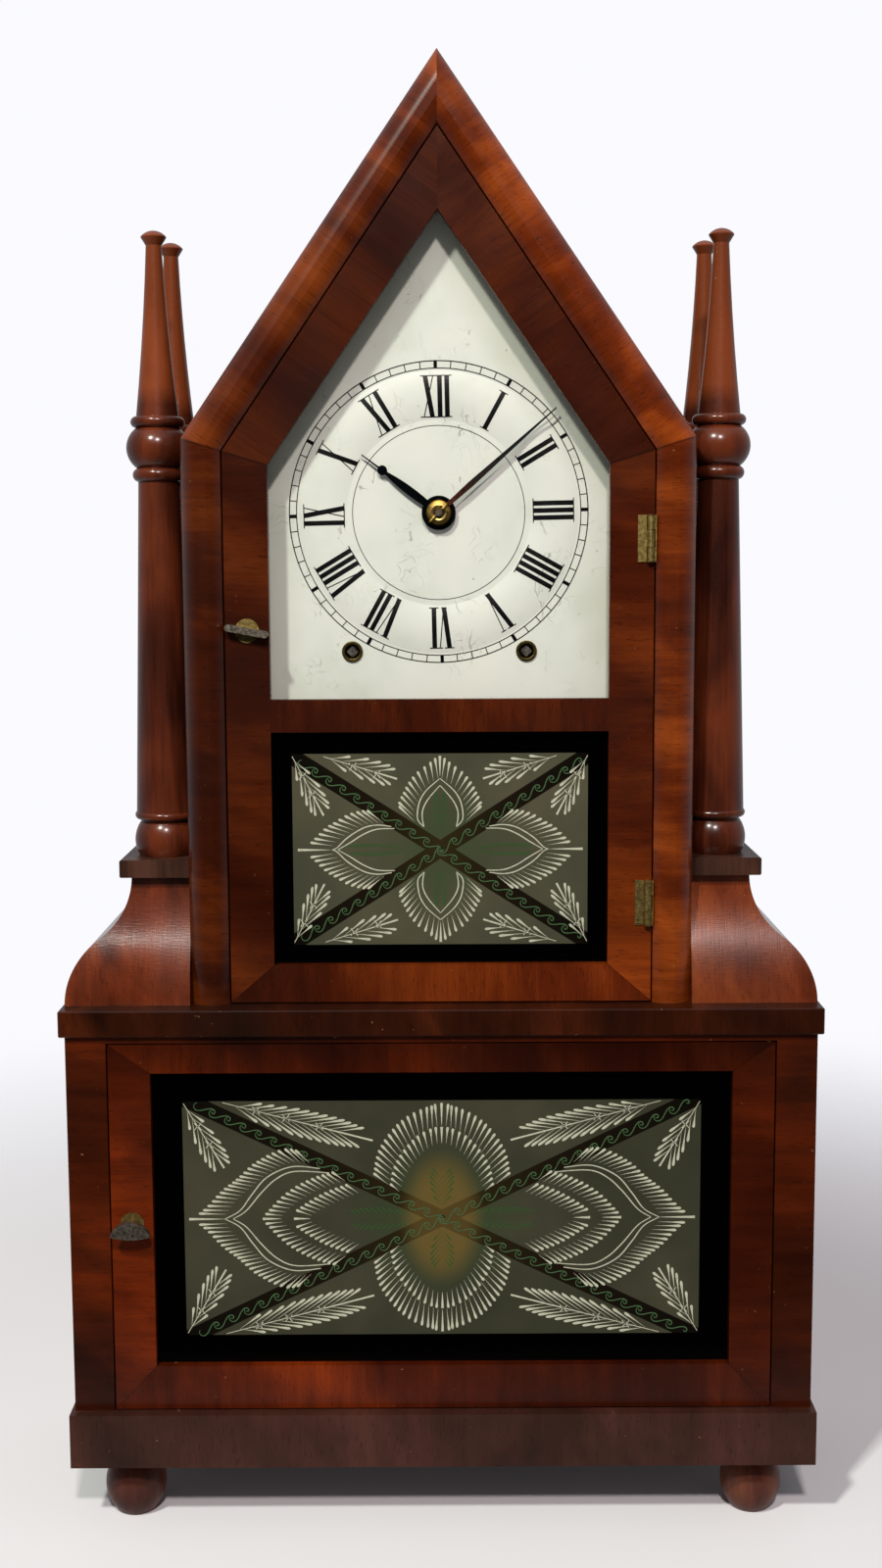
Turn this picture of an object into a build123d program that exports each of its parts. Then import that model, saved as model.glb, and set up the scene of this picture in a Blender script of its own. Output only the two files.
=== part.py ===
"""Double-steeple mantel clock: a waisted wooden case, two hinged doors, four turned
columns and an eight-day striking movement driven by a leaf spring in the base.
Millimetres. The clock faces -Y, +X is to the right of someone facing it and +Z is up.
The origin is on the table, under the middle of the clock's own box."""

from math import atan2, cos, degrees, hypot, pi, radians, sin, sqrt
import os

from build123d import *

# Driving heights, from the table up
foot_height = 30.4
base_height = 25.1
box_height = 176.0
shelf_thickness = 12.0
wing_height = 57.0
plinth_thickness = 8.0
post_height = 252.5
gable_rise = 164.0

# Driving widths and depths
box_width = 337.6
case_depth = 113.0
latch_reach = 8.5
base_front_overhang = 5.8
base_side_overhang = 1.8
shelf_front_overhang = 3.0
shelf_side_overhang = 2.4
moulding_setback = 7.5
moulding_half_width = 113.3
moulding_width = 17.8
moulding_depth = 14.0
moulding_outer_drop = 6.0
moulding_inner_drop = 3.4
moulding_overhang = 1.8
board_thickness = 9.0
back_thickness = 6.0
stile_thickness = 12.0
edge_ease = 0.5
overrun = 5.0

# Upper door
door_gap = 0.7
upper_door_recess = 3.0
upper_door_thickness = 11.0
upper_stile_width = 19.6
middle_rail_low = 123.2
middle_rail_height = 14.6
upper_rail_height = 17.0
glass_lip = 4.5
rebate_width = 4.0
glass_thickness = 2.0
glass_play = 0.4

# Lower door
lower_stile_width = 18.9
side_stile_width = 18.2
lower_door_half_width = box_width / 2 - side_stile_width - door_gap
lower_top_rail_height = 13.2
lower_bottom_rail_height = 20.4
header_height = 3.4

# Heights of the main levels
base_bottom_z = foot_height
base_top_z = base_bottom_z + base_height
shelf_bottom_z = base_top_z + box_height
shelf_top_z = shelf_bottom_z + shelf_thickness
wing_top_z = shelf_top_z + wing_height
plinth_top_z = wing_top_z + plinth_thickness
shoulder_z = shelf_top_z + post_height
peak_z = shoulder_z + gable_rise

# Depths: every place in depth is measured back from the front of the gable moulding
overall_depth = case_depth + latch_reach
back_y = overall_depth / 2
box_front_y = back_y - case_depth
moulding_front_y = box_front_y + moulding_setback
shelf_front_y = box_front_y - shelf_front_overhang
base_front_y = box_front_y - base_front_overhang
moulding_back_y = moulding_front_y + moulding_depth
back_board_y = back_y - back_thickness
half_box = box_width / 2
case_half_width = moulding_half_width - moulding_overhang
gable_slope = gable_rise / moulding_half_width
gable_cos = 1 / sqrt(1 + gable_slope**2)
sides = (-1, 1)

os.makedirs("parts", exist_ok=True)


def save(label, *pieces):
    """Write one node; a node of several loose pieces is a group of separate solids."""
    shape = pieces[0] if len(pieces) == 1 else Compound(children=list(pieces))
    shape.label = label
    export_step(shape, "parts/" + label + ".step")


def facing(y):
    """The plane at depth y that a viewer in front of the clock looks at: X right, Z up."""
    return Plane.XZ.offset(-y)


def board(x_low, x_high, y_low, y_high, z_low, z_high, ease=0.0):
    """A sawn board between six faces, its long edges eased where asked."""
    with BuildPart() as piece:
        with BuildSketch(Plane.XY.offset(z_low)):
            with Locations(((x_low + x_high) / 2, (y_low + y_high) / 2)):
                Rectangle(x_high - x_low, y_high - y_low)
        extrude(amount=z_high - z_low)
        if ease:
            chamfer(piece.edges(), ease)
    return piece.part


def panel(points, y_front, y_back):
    """A flat piece cut to an outline seen from the front."""
    with BuildPart() as piece:
        with BuildSketch(facing(y_back)):
            with BuildLine():
                Polyline(*points, close=True)
            make_face()
        extrude(amount=y_back - y_front)
    return piece.part


def disc(centre, radius, y_front, y_back):
    """A plain round disc or rod whose axis runs front to back."""
    with BuildPart() as piece:
        with BuildSketch(facing(y_back)):
            with Locations(centre):
                Circle(radius)
        extrude(amount=y_back - y_front)
    return piece.part


def gable_at(half_width, apex_z):
    """Height of a line under the gable, parallel to the rake, at a distance from centre."""
    return apex_z - half_width * gable_slope


# Feet: squat turned balls under the corners of the base
foot_radius = 14.05
foot_pad_radius = 8.5
foot_neck_radius = 9.2
foot_inset_x = 26.1
foot_inset_y = 22.8
foot_belly_height = 15.0
foot_neck_height = 26.5


def make_foot(x, y):
    with BuildPart() as foot:
        with BuildSketch(Plane.XZ):
            with BuildLine():
                Line((0, 0), (foot_pad_radius, 0))
                ThreePointArc(
                    (foot_pad_radius, 0),
                    (foot_radius, foot_belly_height),
                    (foot_neck_radius, foot_neck_height),
                )
                Line((foot_neck_radius, foot_neck_height), (foot_neck_radius, foot_height))
                Line((foot_neck_radius, foot_height), (0, foot_height))
                Line((0, foot_height), (0, 0))
            make_face()
        revolve(axis=Axis.Z)
    return foot.part.moved(Location((x, y, 0)))


base_half_width = half_box + base_side_overhang
foot_x = base_half_width - foot_inset_x
foot_rows = (base_front_y + foot_inset_y, back_y - foot_inset_y)
save("feet", *[make_foot(side * foot_x, y) for side in sides for y in foot_rows])

# Base: a mitred frame with a floor board let into it
base_member = 36.0
floor_thickness = 9.0


def mitred_member(outer_a, outer_b, inner_b, inner_a):
    with BuildPart() as member:
        with BuildSketch(Plane.XY.offset(base_bottom_z)):
            with BuildLine():
                Polyline(outer_a, outer_b, inner_b, inner_a, close=True)
            make_face()
        extrude(amount=base_height)
    return member.part


base_outer = [
    (-base_half_width, base_front_y),
    (base_half_width, base_front_y),
    (base_half_width, back_y),
    (-base_half_width, back_y),
]
base_inner_x = base_half_width - base_member
base_inner = [
    (-base_inner_x, base_front_y + base_member),
    (base_inner_x, base_front_y + base_member),
    (base_inner_x, back_y - base_member),
    (-base_inner_x, back_y - base_member),
]
base_members = [
    mitred_member(
        base_outer[i],
        base_outer[(i + 1) % len(base_outer)],
        base_inner[(i + 1) % len(base_inner)],
        base_inner[i],
    )
    for i in range(len(base_outer))
]
floor_board = board(
    base_inner[0][0],
    base_inner[1][0],
    base_inner[0][1],
    base_inner[2][1],
    base_top_z - floor_thickness,
    base_top_z,
)
save("base_frame", *base_members, floor_board)

# Lower box: side boards, front stiles with a header between them, and a back board
stile_inner_x = lower_door_half_width + door_gap
stile_back_y = box_front_y + stile_thickness
save(
    "lower_sides",
    *[
        board(
            min(side * half_box, side * (half_box - board_thickness)),
            max(side * half_box, side * (half_box - board_thickness)),
            stile_back_y,
            back_board_y,
            base_top_z,
            shelf_bottom_z,
        )
        for side in sides
    ],
)
header_bottom_z = shelf_bottom_z - header_height
pivot_radius = 1.2
pivot_play = 0.05
pivot_inset = 2.6
pivot_depth = 1.8
pivot_length = 2.6
pivot_x = lower_door_half_width - pivot_inset
pivot_y = box_front_y + pivot_depth
front_stiles = [
    board(
        min(side * half_box, side * stile_inner_x),
        max(side * half_box, side * stile_inner_x),
        box_front_y,
        stile_back_y,
        base_top_z,
        shelf_bottom_z,
    )
    for side in sides
]
with BuildPart() as header:
    with BuildSketch(Plane.XY.offset(header_bottom_z)):
        with Locations((0, (box_front_y + stile_back_y) / 2)):
            Rectangle(2 * stile_inner_x, stile_thickness)
        with Locations((pivot_x, pivot_y)):
            Circle(pivot_radius + pivot_play, mode=Mode.SUBTRACT)
    extrude(amount=header_height)
save("lower_front_frame", *front_stiles, header.part)
save(
    "lower_back",
    board(-half_box, half_box, back_board_y, back_y, base_top_z, shelf_bottom_z),
)

# Movement layout, needed early because the waist shelf is slotted for the drive cords
hub_drop = 196.5
hub_z = peak_z - hub_drop
winding_x = 39.2
winding_drop = 61.7
winding_z = hub_z - winding_drop
drum_radius = 12.0
cord_radius = 0.6
cord_gap = 0.3
cord_x = winding_x + drum_radius + cord_radius + cord_gap
cord_slot_width = 8.0
cord_slot_depth = 14.0
drum_front = 40.0
drum_length = 16.0
cord_y = moulding_front_y + drum_front + drum_length / 2

# Waist shelf
with BuildPart() as waist_shelf:
    with BuildSketch(Plane.XY.offset(shelf_bottom_z)):
        with Locations((0, (shelf_front_y + back_y) / 2)):
            Rectangle(2 * (half_box + shelf_side_overhang), back_y - shelf_front_y)
    extrude(amount=shelf_thickness)
    chamfer(waist_shelf.edges(), edge_ease)
    with BuildSketch(Plane.XY.offset(shelf_bottom_z - overrun)):
        with Locations(*[(side * cord_x, cord_y) for side in sides]):
            Rectangle(cord_slot_width, cord_slot_depth)
    extrude(amount=shelf_thickness + 2 * overrun, mode=Mode.SUBTRACT)
save("waist_shelf", waist_shelf.part)

# Ogee wings: a cove over an ovolo, run along the front and returned along the side
wing_top_half_width = 140.5
wing_bottom_half_width = 170.0
wing_top_setback = 13.7
wing_bottom_setback = 0.4
ogee_turn_share = 0.49


def ogee_line(x_top, x_bottom):
    """The wing's curve from top to bottom: hollow above, round below, upright at both ends."""
    turn = (
        x_top + (x_bottom - x_top) * ogee_turn_share,
        wing_top_z - wing_height * ogee_turn_share,
    )
    TangentArc((x_top, wing_top_z), turn, tangent=(0, -1))
    TangentArc((x_bottom, shelf_top_z), turn, tangent=(0, 1))


def make_wing(side):
    inner_x = side * case_half_width
    with BuildPart() as wing:
        with BuildSketch(facing(back_y)):
            with BuildLine():
                ogee_line(side * wing_top_half_width, side * wing_bottom_half_width)
                Line((side * wing_bottom_half_width, shelf_top_z), (inner_x, shelf_top_z))
                Line((inner_x, shelf_top_z), (inner_x, wing_top_z))
                Line((inner_x, wing_top_z), (side * wing_top_half_width, wing_top_z))
            make_face()
        extrude(amount=back_y - moulding_front_y)
        with BuildSketch(Plane.YZ):
            with BuildLine():
                front_top = moulding_front_y + wing_top_setback
                front_bottom = moulding_front_y + wing_bottom_setback
                ogee_line(front_top, front_bottom)
                Line((front_bottom, shelf_top_z), (back_y, shelf_top_z))
                Line((back_y, shelf_top_z), (back_y, wing_top_z))
                Line((back_y, wing_top_z), (front_top, wing_top_z))
            make_face()
        extrude(amount=side * base_half_width, mode=Mode.INTERSECT)
        with BuildSketch(Plane.XY.offset(shelf_top_z)):
            with Locations((side * case_half_width, moulding_front_y)):
                Rectangle(2 * moulding_overhang, 2 * moulding_depth)
        extrude(amount=wing_height, mode=Mode.SUBTRACT)
    return wing.part


save("ogee_wing_left", make_wing(-1))
save("ogee_wing_right", make_wing(1))

# Plinths under the columns
plinth_half_width = 145.2
plinth_setback = 9.0


def make_plinth(side):
    x_low = min(side * case_half_width, side * plinth_half_width)
    x_high = max(side * case_half_width, side * plinth_half_width)
    with BuildPart() as plinth:
        with BuildSketch(Plane.XY.offset(wing_top_z)):
            with Locations(((x_low + x_high) / 2, (moulding_front_y + plinth_setback + back_y) / 2)):
                Rectangle(x_high - x_low, back_y - moulding_front_y - plinth_setback)
            with Locations((side * case_half_width, moulding_front_y)):
                Rectangle(2 * moulding_overhang, 2 * moulding_depth, mode=Mode.SUBTRACT)
        extrude(amount=plinth_thickness)
        outer = plinth.edges().filter_by(Axis.Y).sort_by(Axis.X)
        chamfer(outer[-2:] if side > 0 else outer[:2], edge_ease)
    return plinth.part


save("plinths", *[make_plinth(side) for side in sides])

# Columns and their steeples, turned in two pieces that meet on top of the ball
column_x = 126.3
column_front_setback = 29.0
column_spacing = 54.0
column_foot_radius = 12.6
bulb_radius = 14.4
bulb_height = 15.8
bulb_swell_share = 0.45
column_neck_radius = 11.4
base_ring_radius = 14.1
base_ring_height = 3.4
neck_bead = 0.9
shaft_bottom_radius = 13.4
shaft_top_radius = 9.2
shaft_height = 149.6
lower_ring_radius = 11.6
lower_ring_height = 6.0
ball_radius = 14.2
ball_height = 18.0
ball_end_radius = 9.6
upper_ring_radius = 12.1
upper_ring_height = 5.0
spire_bottom_radius = 9.5
spire_waist_radius = 5.95
spire_waist_share = 0.49
spire_top_radius = 3.5
spire_height = 74.8
rear_spire_extra = 3.6
cap_radius = 5.65
cap_flare_height = 3.4
cap_lip = 0.5
cap_dome_height = 2.6

bulb_top_z = plinth_top_z + bulb_height
ring_bottom_z = bulb_top_z + neck_bead
shaft_bottom_z = ring_bottom_z + base_ring_height
shaft_top_z = shaft_bottom_z + shaft_height
ball_bottom_z = shaft_top_z + lower_ring_height
ball_top_z = ball_bottom_z + ball_height


def make_column(x, y):
    with BuildPart() as column:
        with BuildSketch(Plane.XZ):
            with BuildLine():
                Polyline((0, ball_top_z), (0, plinth_top_z), (column_foot_radius, plinth_top_z))
                ThreePointArc(
                    (column_foot_radius, plinth_top_z),
                    (bulb_radius, plinth_top_z + bulb_height * bulb_swell_share),
                    (column_neck_radius, bulb_top_z),
                )
                Line((column_neck_radius, bulb_top_z), (column_neck_radius, ring_bottom_z))
                ThreePointArc(
                    (column_neck_radius, ring_bottom_z),
                    (base_ring_radius, (ring_bottom_z + shaft_bottom_z) / 2),
                    (shaft_bottom_radius, shaft_bottom_z),
                )
                Line((shaft_bottom_radius, shaft_bottom_z), (shaft_top_radius, shaft_top_z))
                ThreePointArc(
                    (shaft_top_radius, shaft_top_z),
                    (lower_ring_radius, (shaft_top_z + ball_bottom_z) / 2),
                    (ball_end_radius, ball_bottom_z),
                )
                ThreePointArc(
                    (ball_end_radius, ball_bottom_z),
                    (ball_radius, (ball_bottom_z + ball_top_z) / 2),
                    (ball_end_radius, ball_top_z),
                )
                Line((ball_end_radius, ball_top_z), (0, ball_top_z))
            make_face()
        revolve(axis=Axis.Z)
    return column.part.moved(Location((x, y, 0)))


def make_steeple(x, y, extra):
    spire_bottom_z = ball_top_z + upper_ring_height
    spire_top_z = spire_bottom_z + spire_height + extra
    lip_z = spire_top_z + cap_flare_height
    cap_top_z = lip_z + cap_lip + cap_dome_height
    with BuildPart() as steeple:
        with BuildSketch(Plane.XZ):
            with BuildLine():
                Polyline((0, cap_top_z), (0, ball_top_z), (ball_end_radius, ball_top_z))
                ThreePointArc(
                    (ball_end_radius, ball_top_z),
                    (upper_ring_radius, (ball_top_z + spire_bottom_z) / 2),
                    (spire_bottom_radius, spire_bottom_z),
                )
                ThreePointArc(
                    (spire_bottom_radius, spire_bottom_z),
                    (spire_waist_radius, spire_bottom_z + spire_height * spire_waist_share),
                    (spire_top_radius, spire_top_z),
                )
                Polyline((spire_top_radius, spire_top_z), (cap_radius, lip_z), (cap_radius, lip_z + cap_lip))
                RadiusArc(
                    (cap_radius, lip_z + cap_lip),
                    (0, cap_top_z),
                    -(cap_radius**2 + cap_dome_height**2) / (2 * cap_dome_height),
                )
            make_face()
        revolve(axis=Axis.Z)
    return steeple.part.moved(Location((x, y, 0)))


front_column_y = moulding_front_y + column_front_setback
for row, y, extra in (
    ("front", front_column_y, 0.0),
    ("rear", front_column_y + column_spacing, rear_spire_extra),
):
    for name, side in (("left", -1), ("right", 1)):
        save(
            "column_" + row + "_" + name,
            make_column(side * column_x, y),
            make_steeple(side * column_x, y, extra),
        )

# Upper shell: a side board and a roof board each side, and the back board
roof_drop = moulding_overhang / gable_cos
roof_apex_z = peak_z - roof_drop
roof_inner_apex_z = roof_apex_z - board_thickness / gable_cos
side_inner_x = case_half_width - board_thickness


def make_shell(side):
    outer_top = (side * case_half_width, gable_at(case_half_width, roof_apex_z))
    inner_top = (side * side_inner_x, gable_at(side_inner_x, roof_inner_apex_z))
    side_board = panel(
        [
            (side * side_inner_x, shelf_top_z),
            (side * case_half_width, shelf_top_z),
            outer_top,
            inner_top,
        ],
        moulding_back_y,
        back_board_y,
    )
    roof_board = panel(
        [inner_top, outer_top, (0, roof_apex_z), (0, roof_inner_apex_z)],
        moulding_back_y,
        back_board_y,
    )
    return side_board, roof_board


save("upper_shell_left", *make_shell(-1))
save("upper_shell_right", *make_shell(1))
shell_top_z = gable_at(case_half_width, roof_apex_z)
save(
    "upper_back",
    panel(
        [
            (-case_half_width, shelf_top_z),
            (case_half_width, shelf_top_z),
            (case_half_width, shell_top_z),
            (0, roof_apex_z),
            (-case_half_width, shell_top_z),
        ],
        back_board_y,
        back_y,
    ),
)

# Gable moulding: a rounded section run up each post and rake, mitred at shoulder and peak
moulding_inner_half = moulding_half_width - moulding_width
moulding_inner_apex_z = peak_z - moulding_width / gable_cos
inner_shoulder_z = gable_at(moulding_inner_half, moulding_inner_apex_z)
crown_share = 0.45
hinge_leaf_thickness = 0.5


def moulding_section():
    """Section with its outer corner at the origin, running inward along local X."""
    Polyline(
        (0, -moulding_outer_drop),
        (0, -moulding_depth),
        (moulding_width, -moulding_depth),
        (moulding_width, -moulding_inner_drop),
    )
    ThreePointArc(
        (moulding_width, -moulding_inner_drop),
        (moulding_width * crown_share, 0),
        (0, -moulding_outer_drop),
    )


def make_moulding(side):
    shoulder = (side * moulding_half_width, shoulder_z)
    inner_shoulder = (side * moulding_inner_half, inner_shoulder_z)
    inward = Vector(-side, 0, 0)
    post_plane = Plane(
        origin=(shoulder[0], moulding_front_y, shelf_top_z),
        x_dir=inward,
        z_dir=inward.cross(Vector(0, -1, 0)),
    )
    post_outline = [
        (shoulder[0], shelf_top_z),
        shoulder,
        inner_shoulder,
        (inner_shoulder[0], shelf_top_z),
    ]
    rake_outline = [shoulder, (0, peak_z), (0, moulding_inner_apex_z), inner_shoulder]
    rake_inward = Vector(-side * gable_rise, 0, -moulding_half_width).normalized()
    rake_plane = Plane(
        origin=(shoulder[0], moulding_front_y, shoulder[1]),
        x_dir=rake_inward,
        z_dir=rake_inward.cross(Vector(0, -1, 0)),
    )
    pieces = []
    for plane, outline in ((post_plane, post_outline), (rake_plane, rake_outline)):
        length = 2 * post_height
        with BuildPart() as leg:
            with BuildSketch(plane):
                with BuildLine():
                    moulding_section()
                make_face()
            extrude(amount=length, both=True)
            with BuildSketch(facing(moulding_back_y)):
                with BuildLine():
                    Polyline(*outline, close=True)
                make_face()
            extrude(amount=moulding_depth, mode=Mode.INTERSECT)
        pieces.append(leg.part)
    return pieces


save("gable_moulding_left", *make_moulding(-1))
save("gable_moulding_right", *make_moulding(1))

# Upper door: mitred stiles, rakes and bottom rail, and a rail between glass and tablet
door_front_y = moulding_front_y + upper_door_recess
door_back_y = door_front_y + upper_door_thickness
door_half = moulding_inner_half - door_gap
door_apex_z = moulding_inner_apex_z - door_gap / gable_cos
door_bottom_z = shelf_top_z + door_gap
door_shoulder_z = gable_at(door_half, door_apex_z)
opening_half = door_half - upper_stile_width
opening_apex_z = door_apex_z - upper_stile_width / gable_cos
opening_shoulder_z = gable_at(opening_half, opening_apex_z)
opening_bottom_z = door_bottom_z + upper_rail_height
rail_low_z = shelf_top_z + middle_rail_low
rail_high_z = rail_low_z + middle_rail_height
glass_y = door_front_y + glass_lip

hinge_height = 20.5
hinge_barrel_radius = 1.65
hinge_pin_radius = 0.8
hinge_play = 0.05
knuckle_gap = 0.2
hinge_inset = 1.7
hinge_x = door_half - hinge_inset
hinge_y = door_front_y - hinge_barrel_radius - hinge_play
upper_hinge_rise = 197.9
lower_hinge_rise = 35.5
hinge_lows = (shelf_top_z + upper_hinge_rise, shelf_top_z + lower_hinge_rise)

latch_shaft_radius = 1.5
latch_play = 0.06
upper_latch_x = -(door_half + opening_half) / 2
upper_latch_rise = 168.4
upper_latch_z = shelf_top_z + upper_latch_rise


def pentagon(half_width, low_z, shoulder, apex):
    return [
        (-half_width, low_z),
        (-half_width, shoulder),
        (0, apex),
        (half_width, shoulder),
        (half_width, low_z),
    ]


door_outer = pentagon(door_half, door_bottom_z, door_shoulder_z, door_apex_z)
door_inner = pentagon(opening_half, opening_bottom_z, opening_shoulder_z, opening_apex_z)
rebate_apex_z = opening_apex_z + rebate_width / gable_cos
rebate_half = opening_half + rebate_width


def frame_member(outline, rebates, holes):
    """One member of a door frame, rebated behind for glass and bored where asked."""
    with BuildPart() as member:
        with BuildSketch(facing(door_back_y)):
            with BuildLine():
                Polyline(*outline, close=True)
            make_face()
        extrude(amount=upper_door_thickness)
        for rebate in rebates:
            with BuildSketch(facing(door_back_y)):
                with BuildLine():
                    Polyline(*rebate, close=True)
                make_face()
            extrude(amount=upper_door_thickness - glass_lip, mode=Mode.SUBTRACT)
        for centre, radius in holes:
            with BuildSketch(facing(door_back_y + overrun)):
                with Locations(centre):
                    Circle(radius)
            extrude(amount=upper_door_thickness + 2 * overrun, mode=Mode.SUBTRACT)
    return member.part


dial_rebate = pentagon(
    rebate_half, rail_high_z - rebate_width, gable_at(rebate_half, rebate_apex_z), rebate_apex_z
)
tablet_rebate = [
    (-rebate_half, opening_bottom_z - rebate_width),
    (-rebate_half, rail_low_z + rebate_width),
    (rebate_half, rail_low_z + rebate_width),
    (rebate_half, opening_bottom_z - rebate_width),
]
both_rebates = (dial_rebate, tablet_rebate)
latch_hole = ((upper_latch_x, upper_latch_z), latch_shaft_radius + latch_play)
corner_count = len(door_outer)
door_members = [
    frame_member(
        [
            door_outer[i],
            door_outer[(i + 1) % corner_count],
            door_inner[(i + 1) % corner_count],
            door_inner[i],
        ],
        both_rebates,
        [latch_hole] if i == 0 else [],
    )
    for i in range(corner_count)
]
middle_rail = frame_member(
    [
        (-opening_half, rail_low_z),
        (-opening_half, rail_high_z),
        (opening_half, rail_high_z),
        (opening_half, rail_low_z),
    ],
    both_rebates,
    [],
)
save("upper_door_frame", *door_members, middle_rail)

dial_glass_half = rebate_half - glass_play
dial_glass_apex_z = rebate_apex_z - glass_play / gable_cos
save(
    "dial_glass",
    panel(
        pentagon(
            dial_glass_half,
            rail_high_z - rebate_width + glass_play,
            gable_at(dial_glass_half, dial_glass_apex_z),
            dial_glass_apex_z,
        ),
        glass_y,
        glass_y + glass_thickness,
    ),
)
save(
    "upper_tablet",
    board(
        -dial_glass_half,
        dial_glass_half,
        glass_y,
        glass_y + glass_thickness,
        opening_bottom_z - rebate_width + glass_play,
        rail_low_z + rebate_width - glass_play,
    ),
)

# Butt hinges on the right of the upper door, their barrels proud of its face
outer_knuckle = 6.4
door_leaf_width = 3.8
case_leaf_depth = 11.0


def knuckle(low_z, height, bore):
    with BuildPart() as barrel:
        with BuildSketch(Plane.XY.offset(low_z)):
            with Locations((hinge_x, hinge_y)):
                Circle(hinge_barrel_radius)
                if bore:
                    Circle(hinge_pin_radius + hinge_play, mode=Mode.SUBTRACT)
        extrude(amount=height)
    return barrel.part


def case_leaf(low_z):
    """Outer knuckles with their pin, and a leaf let into the gap beside the moulding."""
    leaf_x = moulding_inner_half - hinge_leaf_thickness
    with BuildPart() as leaf:
        for z in (low_z, low_z + hinge_height - outer_knuckle):
            add(knuckle(z, outer_knuckle, False))
            with BuildSketch(Plane.XY.offset(z)):
                with Locations(((hinge_x + moulding_inner_half) / 2, hinge_y)):
                    Rectangle(moulding_inner_half - hinge_x, hinge_leaf_thickness)
            extrude(amount=outer_knuckle)
        with BuildSketch(Plane.XY.offset(low_z)):
            with Locations((hinge_x, hinge_y)):
                Circle(hinge_pin_radius)
            with Locations(
                ((leaf_x + moulding_inner_half) / 2, hinge_y + (case_leaf_depth - hinge_leaf_thickness) / 2)
            ):
                Rectangle(hinge_leaf_thickness, case_leaf_depth)
        extrude(amount=hinge_height)
    return leaf.part


def door_leaf(low_z):
    """The middle knuckle and the leaf that lies on the door's face."""
    middle_low = low_z + outer_knuckle + knuckle_gap
    middle_height = hinge_height - 2 * (outer_knuckle + knuckle_gap)
    with BuildPart() as leaf:
        add(knuckle(middle_low, middle_height, True))
        with BuildSketch(Plane.XY.offset(middle_low)):
            web_x = hinge_x - hinge_barrel_radius
            with Locations((web_x, door_front_y - hinge_leaf_thickness / 2)):
                Rectangle(hinge_barrel_radius, hinge_leaf_thickness)
        extrude(amount=middle_height)
        with BuildSketch(Plane.XY.offset(low_z)):
            leaf_high_x = hinge_x - hinge_barrel_radius - knuckle_gap
            with Locations((leaf_high_x - door_leaf_width / 2, door_front_y - hinge_leaf_thickness / 2)):
                Rectangle(door_leaf_width, hinge_leaf_thickness)
        extrude(amount=hinge_height)
    return leaf.part


save("upper_hinge_case_leaves", *[case_leaf(low) for low in hinge_lows])
save("upper_hinge_door_leaves", *[door_leaf(low) for low in hinge_lows])

# Latches: a round plate, and a thumb turn on a shaft with a tongue behind the door
latch_plate_radius = 5.4
latch_plate_thickness = 0.8
thumb_length = 19.5
thumb_height = 3.1
thumb_depth = 3.6
thumb_tilt = 10.6
tongue_length = 15.0
tongue_width = 4.0
tongue_thickness = 1.4
tongue_gap = 0.4


def latch_plate(x, z, face_y):
    with BuildPart() as plate:
        with BuildSketch(facing(face_y)):
            with Locations((x, z)):
                Circle(latch_plate_radius)
                Circle(latch_shaft_radius + latch_play, mode=Mode.SUBTRACT)
        extrude(amount=latch_plate_thickness)
    return plate.part


def latch_tongue(x, z, door_rear_y):
    """The tongue stands upright when free; turned a quarter it reaches behind the case."""
    front = door_rear_y + tongue_gap
    with BuildPart() as tongue:
        with BuildSketch(facing(front + tongue_thickness)):
            with Locations((x, z + (tongue_length - tongue_width) / 2)):
                SlotOverall(tongue_length, tongue_width, rotation=90)
        extrude(amount=tongue_thickness)
    return tongue.part


upper_plate_front_y = door_front_y - latch_plate_thickness
save("upper_latch_plate", latch_plate(upper_latch_x, upper_latch_z, door_front_y))
with BuildPart() as upper_latch_turn:
    add(latch_tongue(upper_latch_x, upper_latch_z, door_back_y))
    with BuildSketch(facing(door_back_y + tongue_gap)):
        with Locations((upper_latch_x, upper_latch_z)):
            Circle(latch_shaft_radius)
    extrude(amount=door_back_y + tongue_gap - upper_plate_front_y + tongue_gap)
    with BuildSketch(facing(upper_plate_front_y - tongue_gap)):
        with Locations((upper_latch_x, upper_latch_z)):
            SlotOverall(thumb_length, thumb_height, rotation=-thumb_tilt)
    extrude(amount=thumb_depth)
save("upper_latch_turn", upper_latch_turn.part)

# Lower door, hung on pivots at its right-hand corners
lower_front_y = box_front_y
lower_back_y = lower_front_y + stile_thickness
lower_door_low_z = base_top_z + door_gap
lower_door_high_z = header_bottom_z - door_gap
lower_opening_half = lower_door_half_width - lower_stile_width
lower_opening_low_z = lower_door_low_z + lower_bottom_rail_height
lower_opening_high_z = lower_door_high_z - lower_top_rail_height
lower_latch_x = -(lower_door_half_width + lower_opening_half) / 2
lower_latch_rise = 88.8
lower_latch_z = base_top_z + lower_latch_rise
lower_outer = [
    (-lower_door_half_width, lower_door_low_z),
    (-lower_door_half_width, lower_door_high_z),
    (lower_door_half_width, lower_door_high_z),
    (lower_door_half_width, lower_door_low_z),
]
lower_inner = [
    (-lower_opening_half, lower_opening_low_z),
    (-lower_opening_half, lower_opening_high_z),
    (lower_opening_half, lower_opening_high_z),
    (lower_opening_half, lower_opening_low_z),
]


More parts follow.
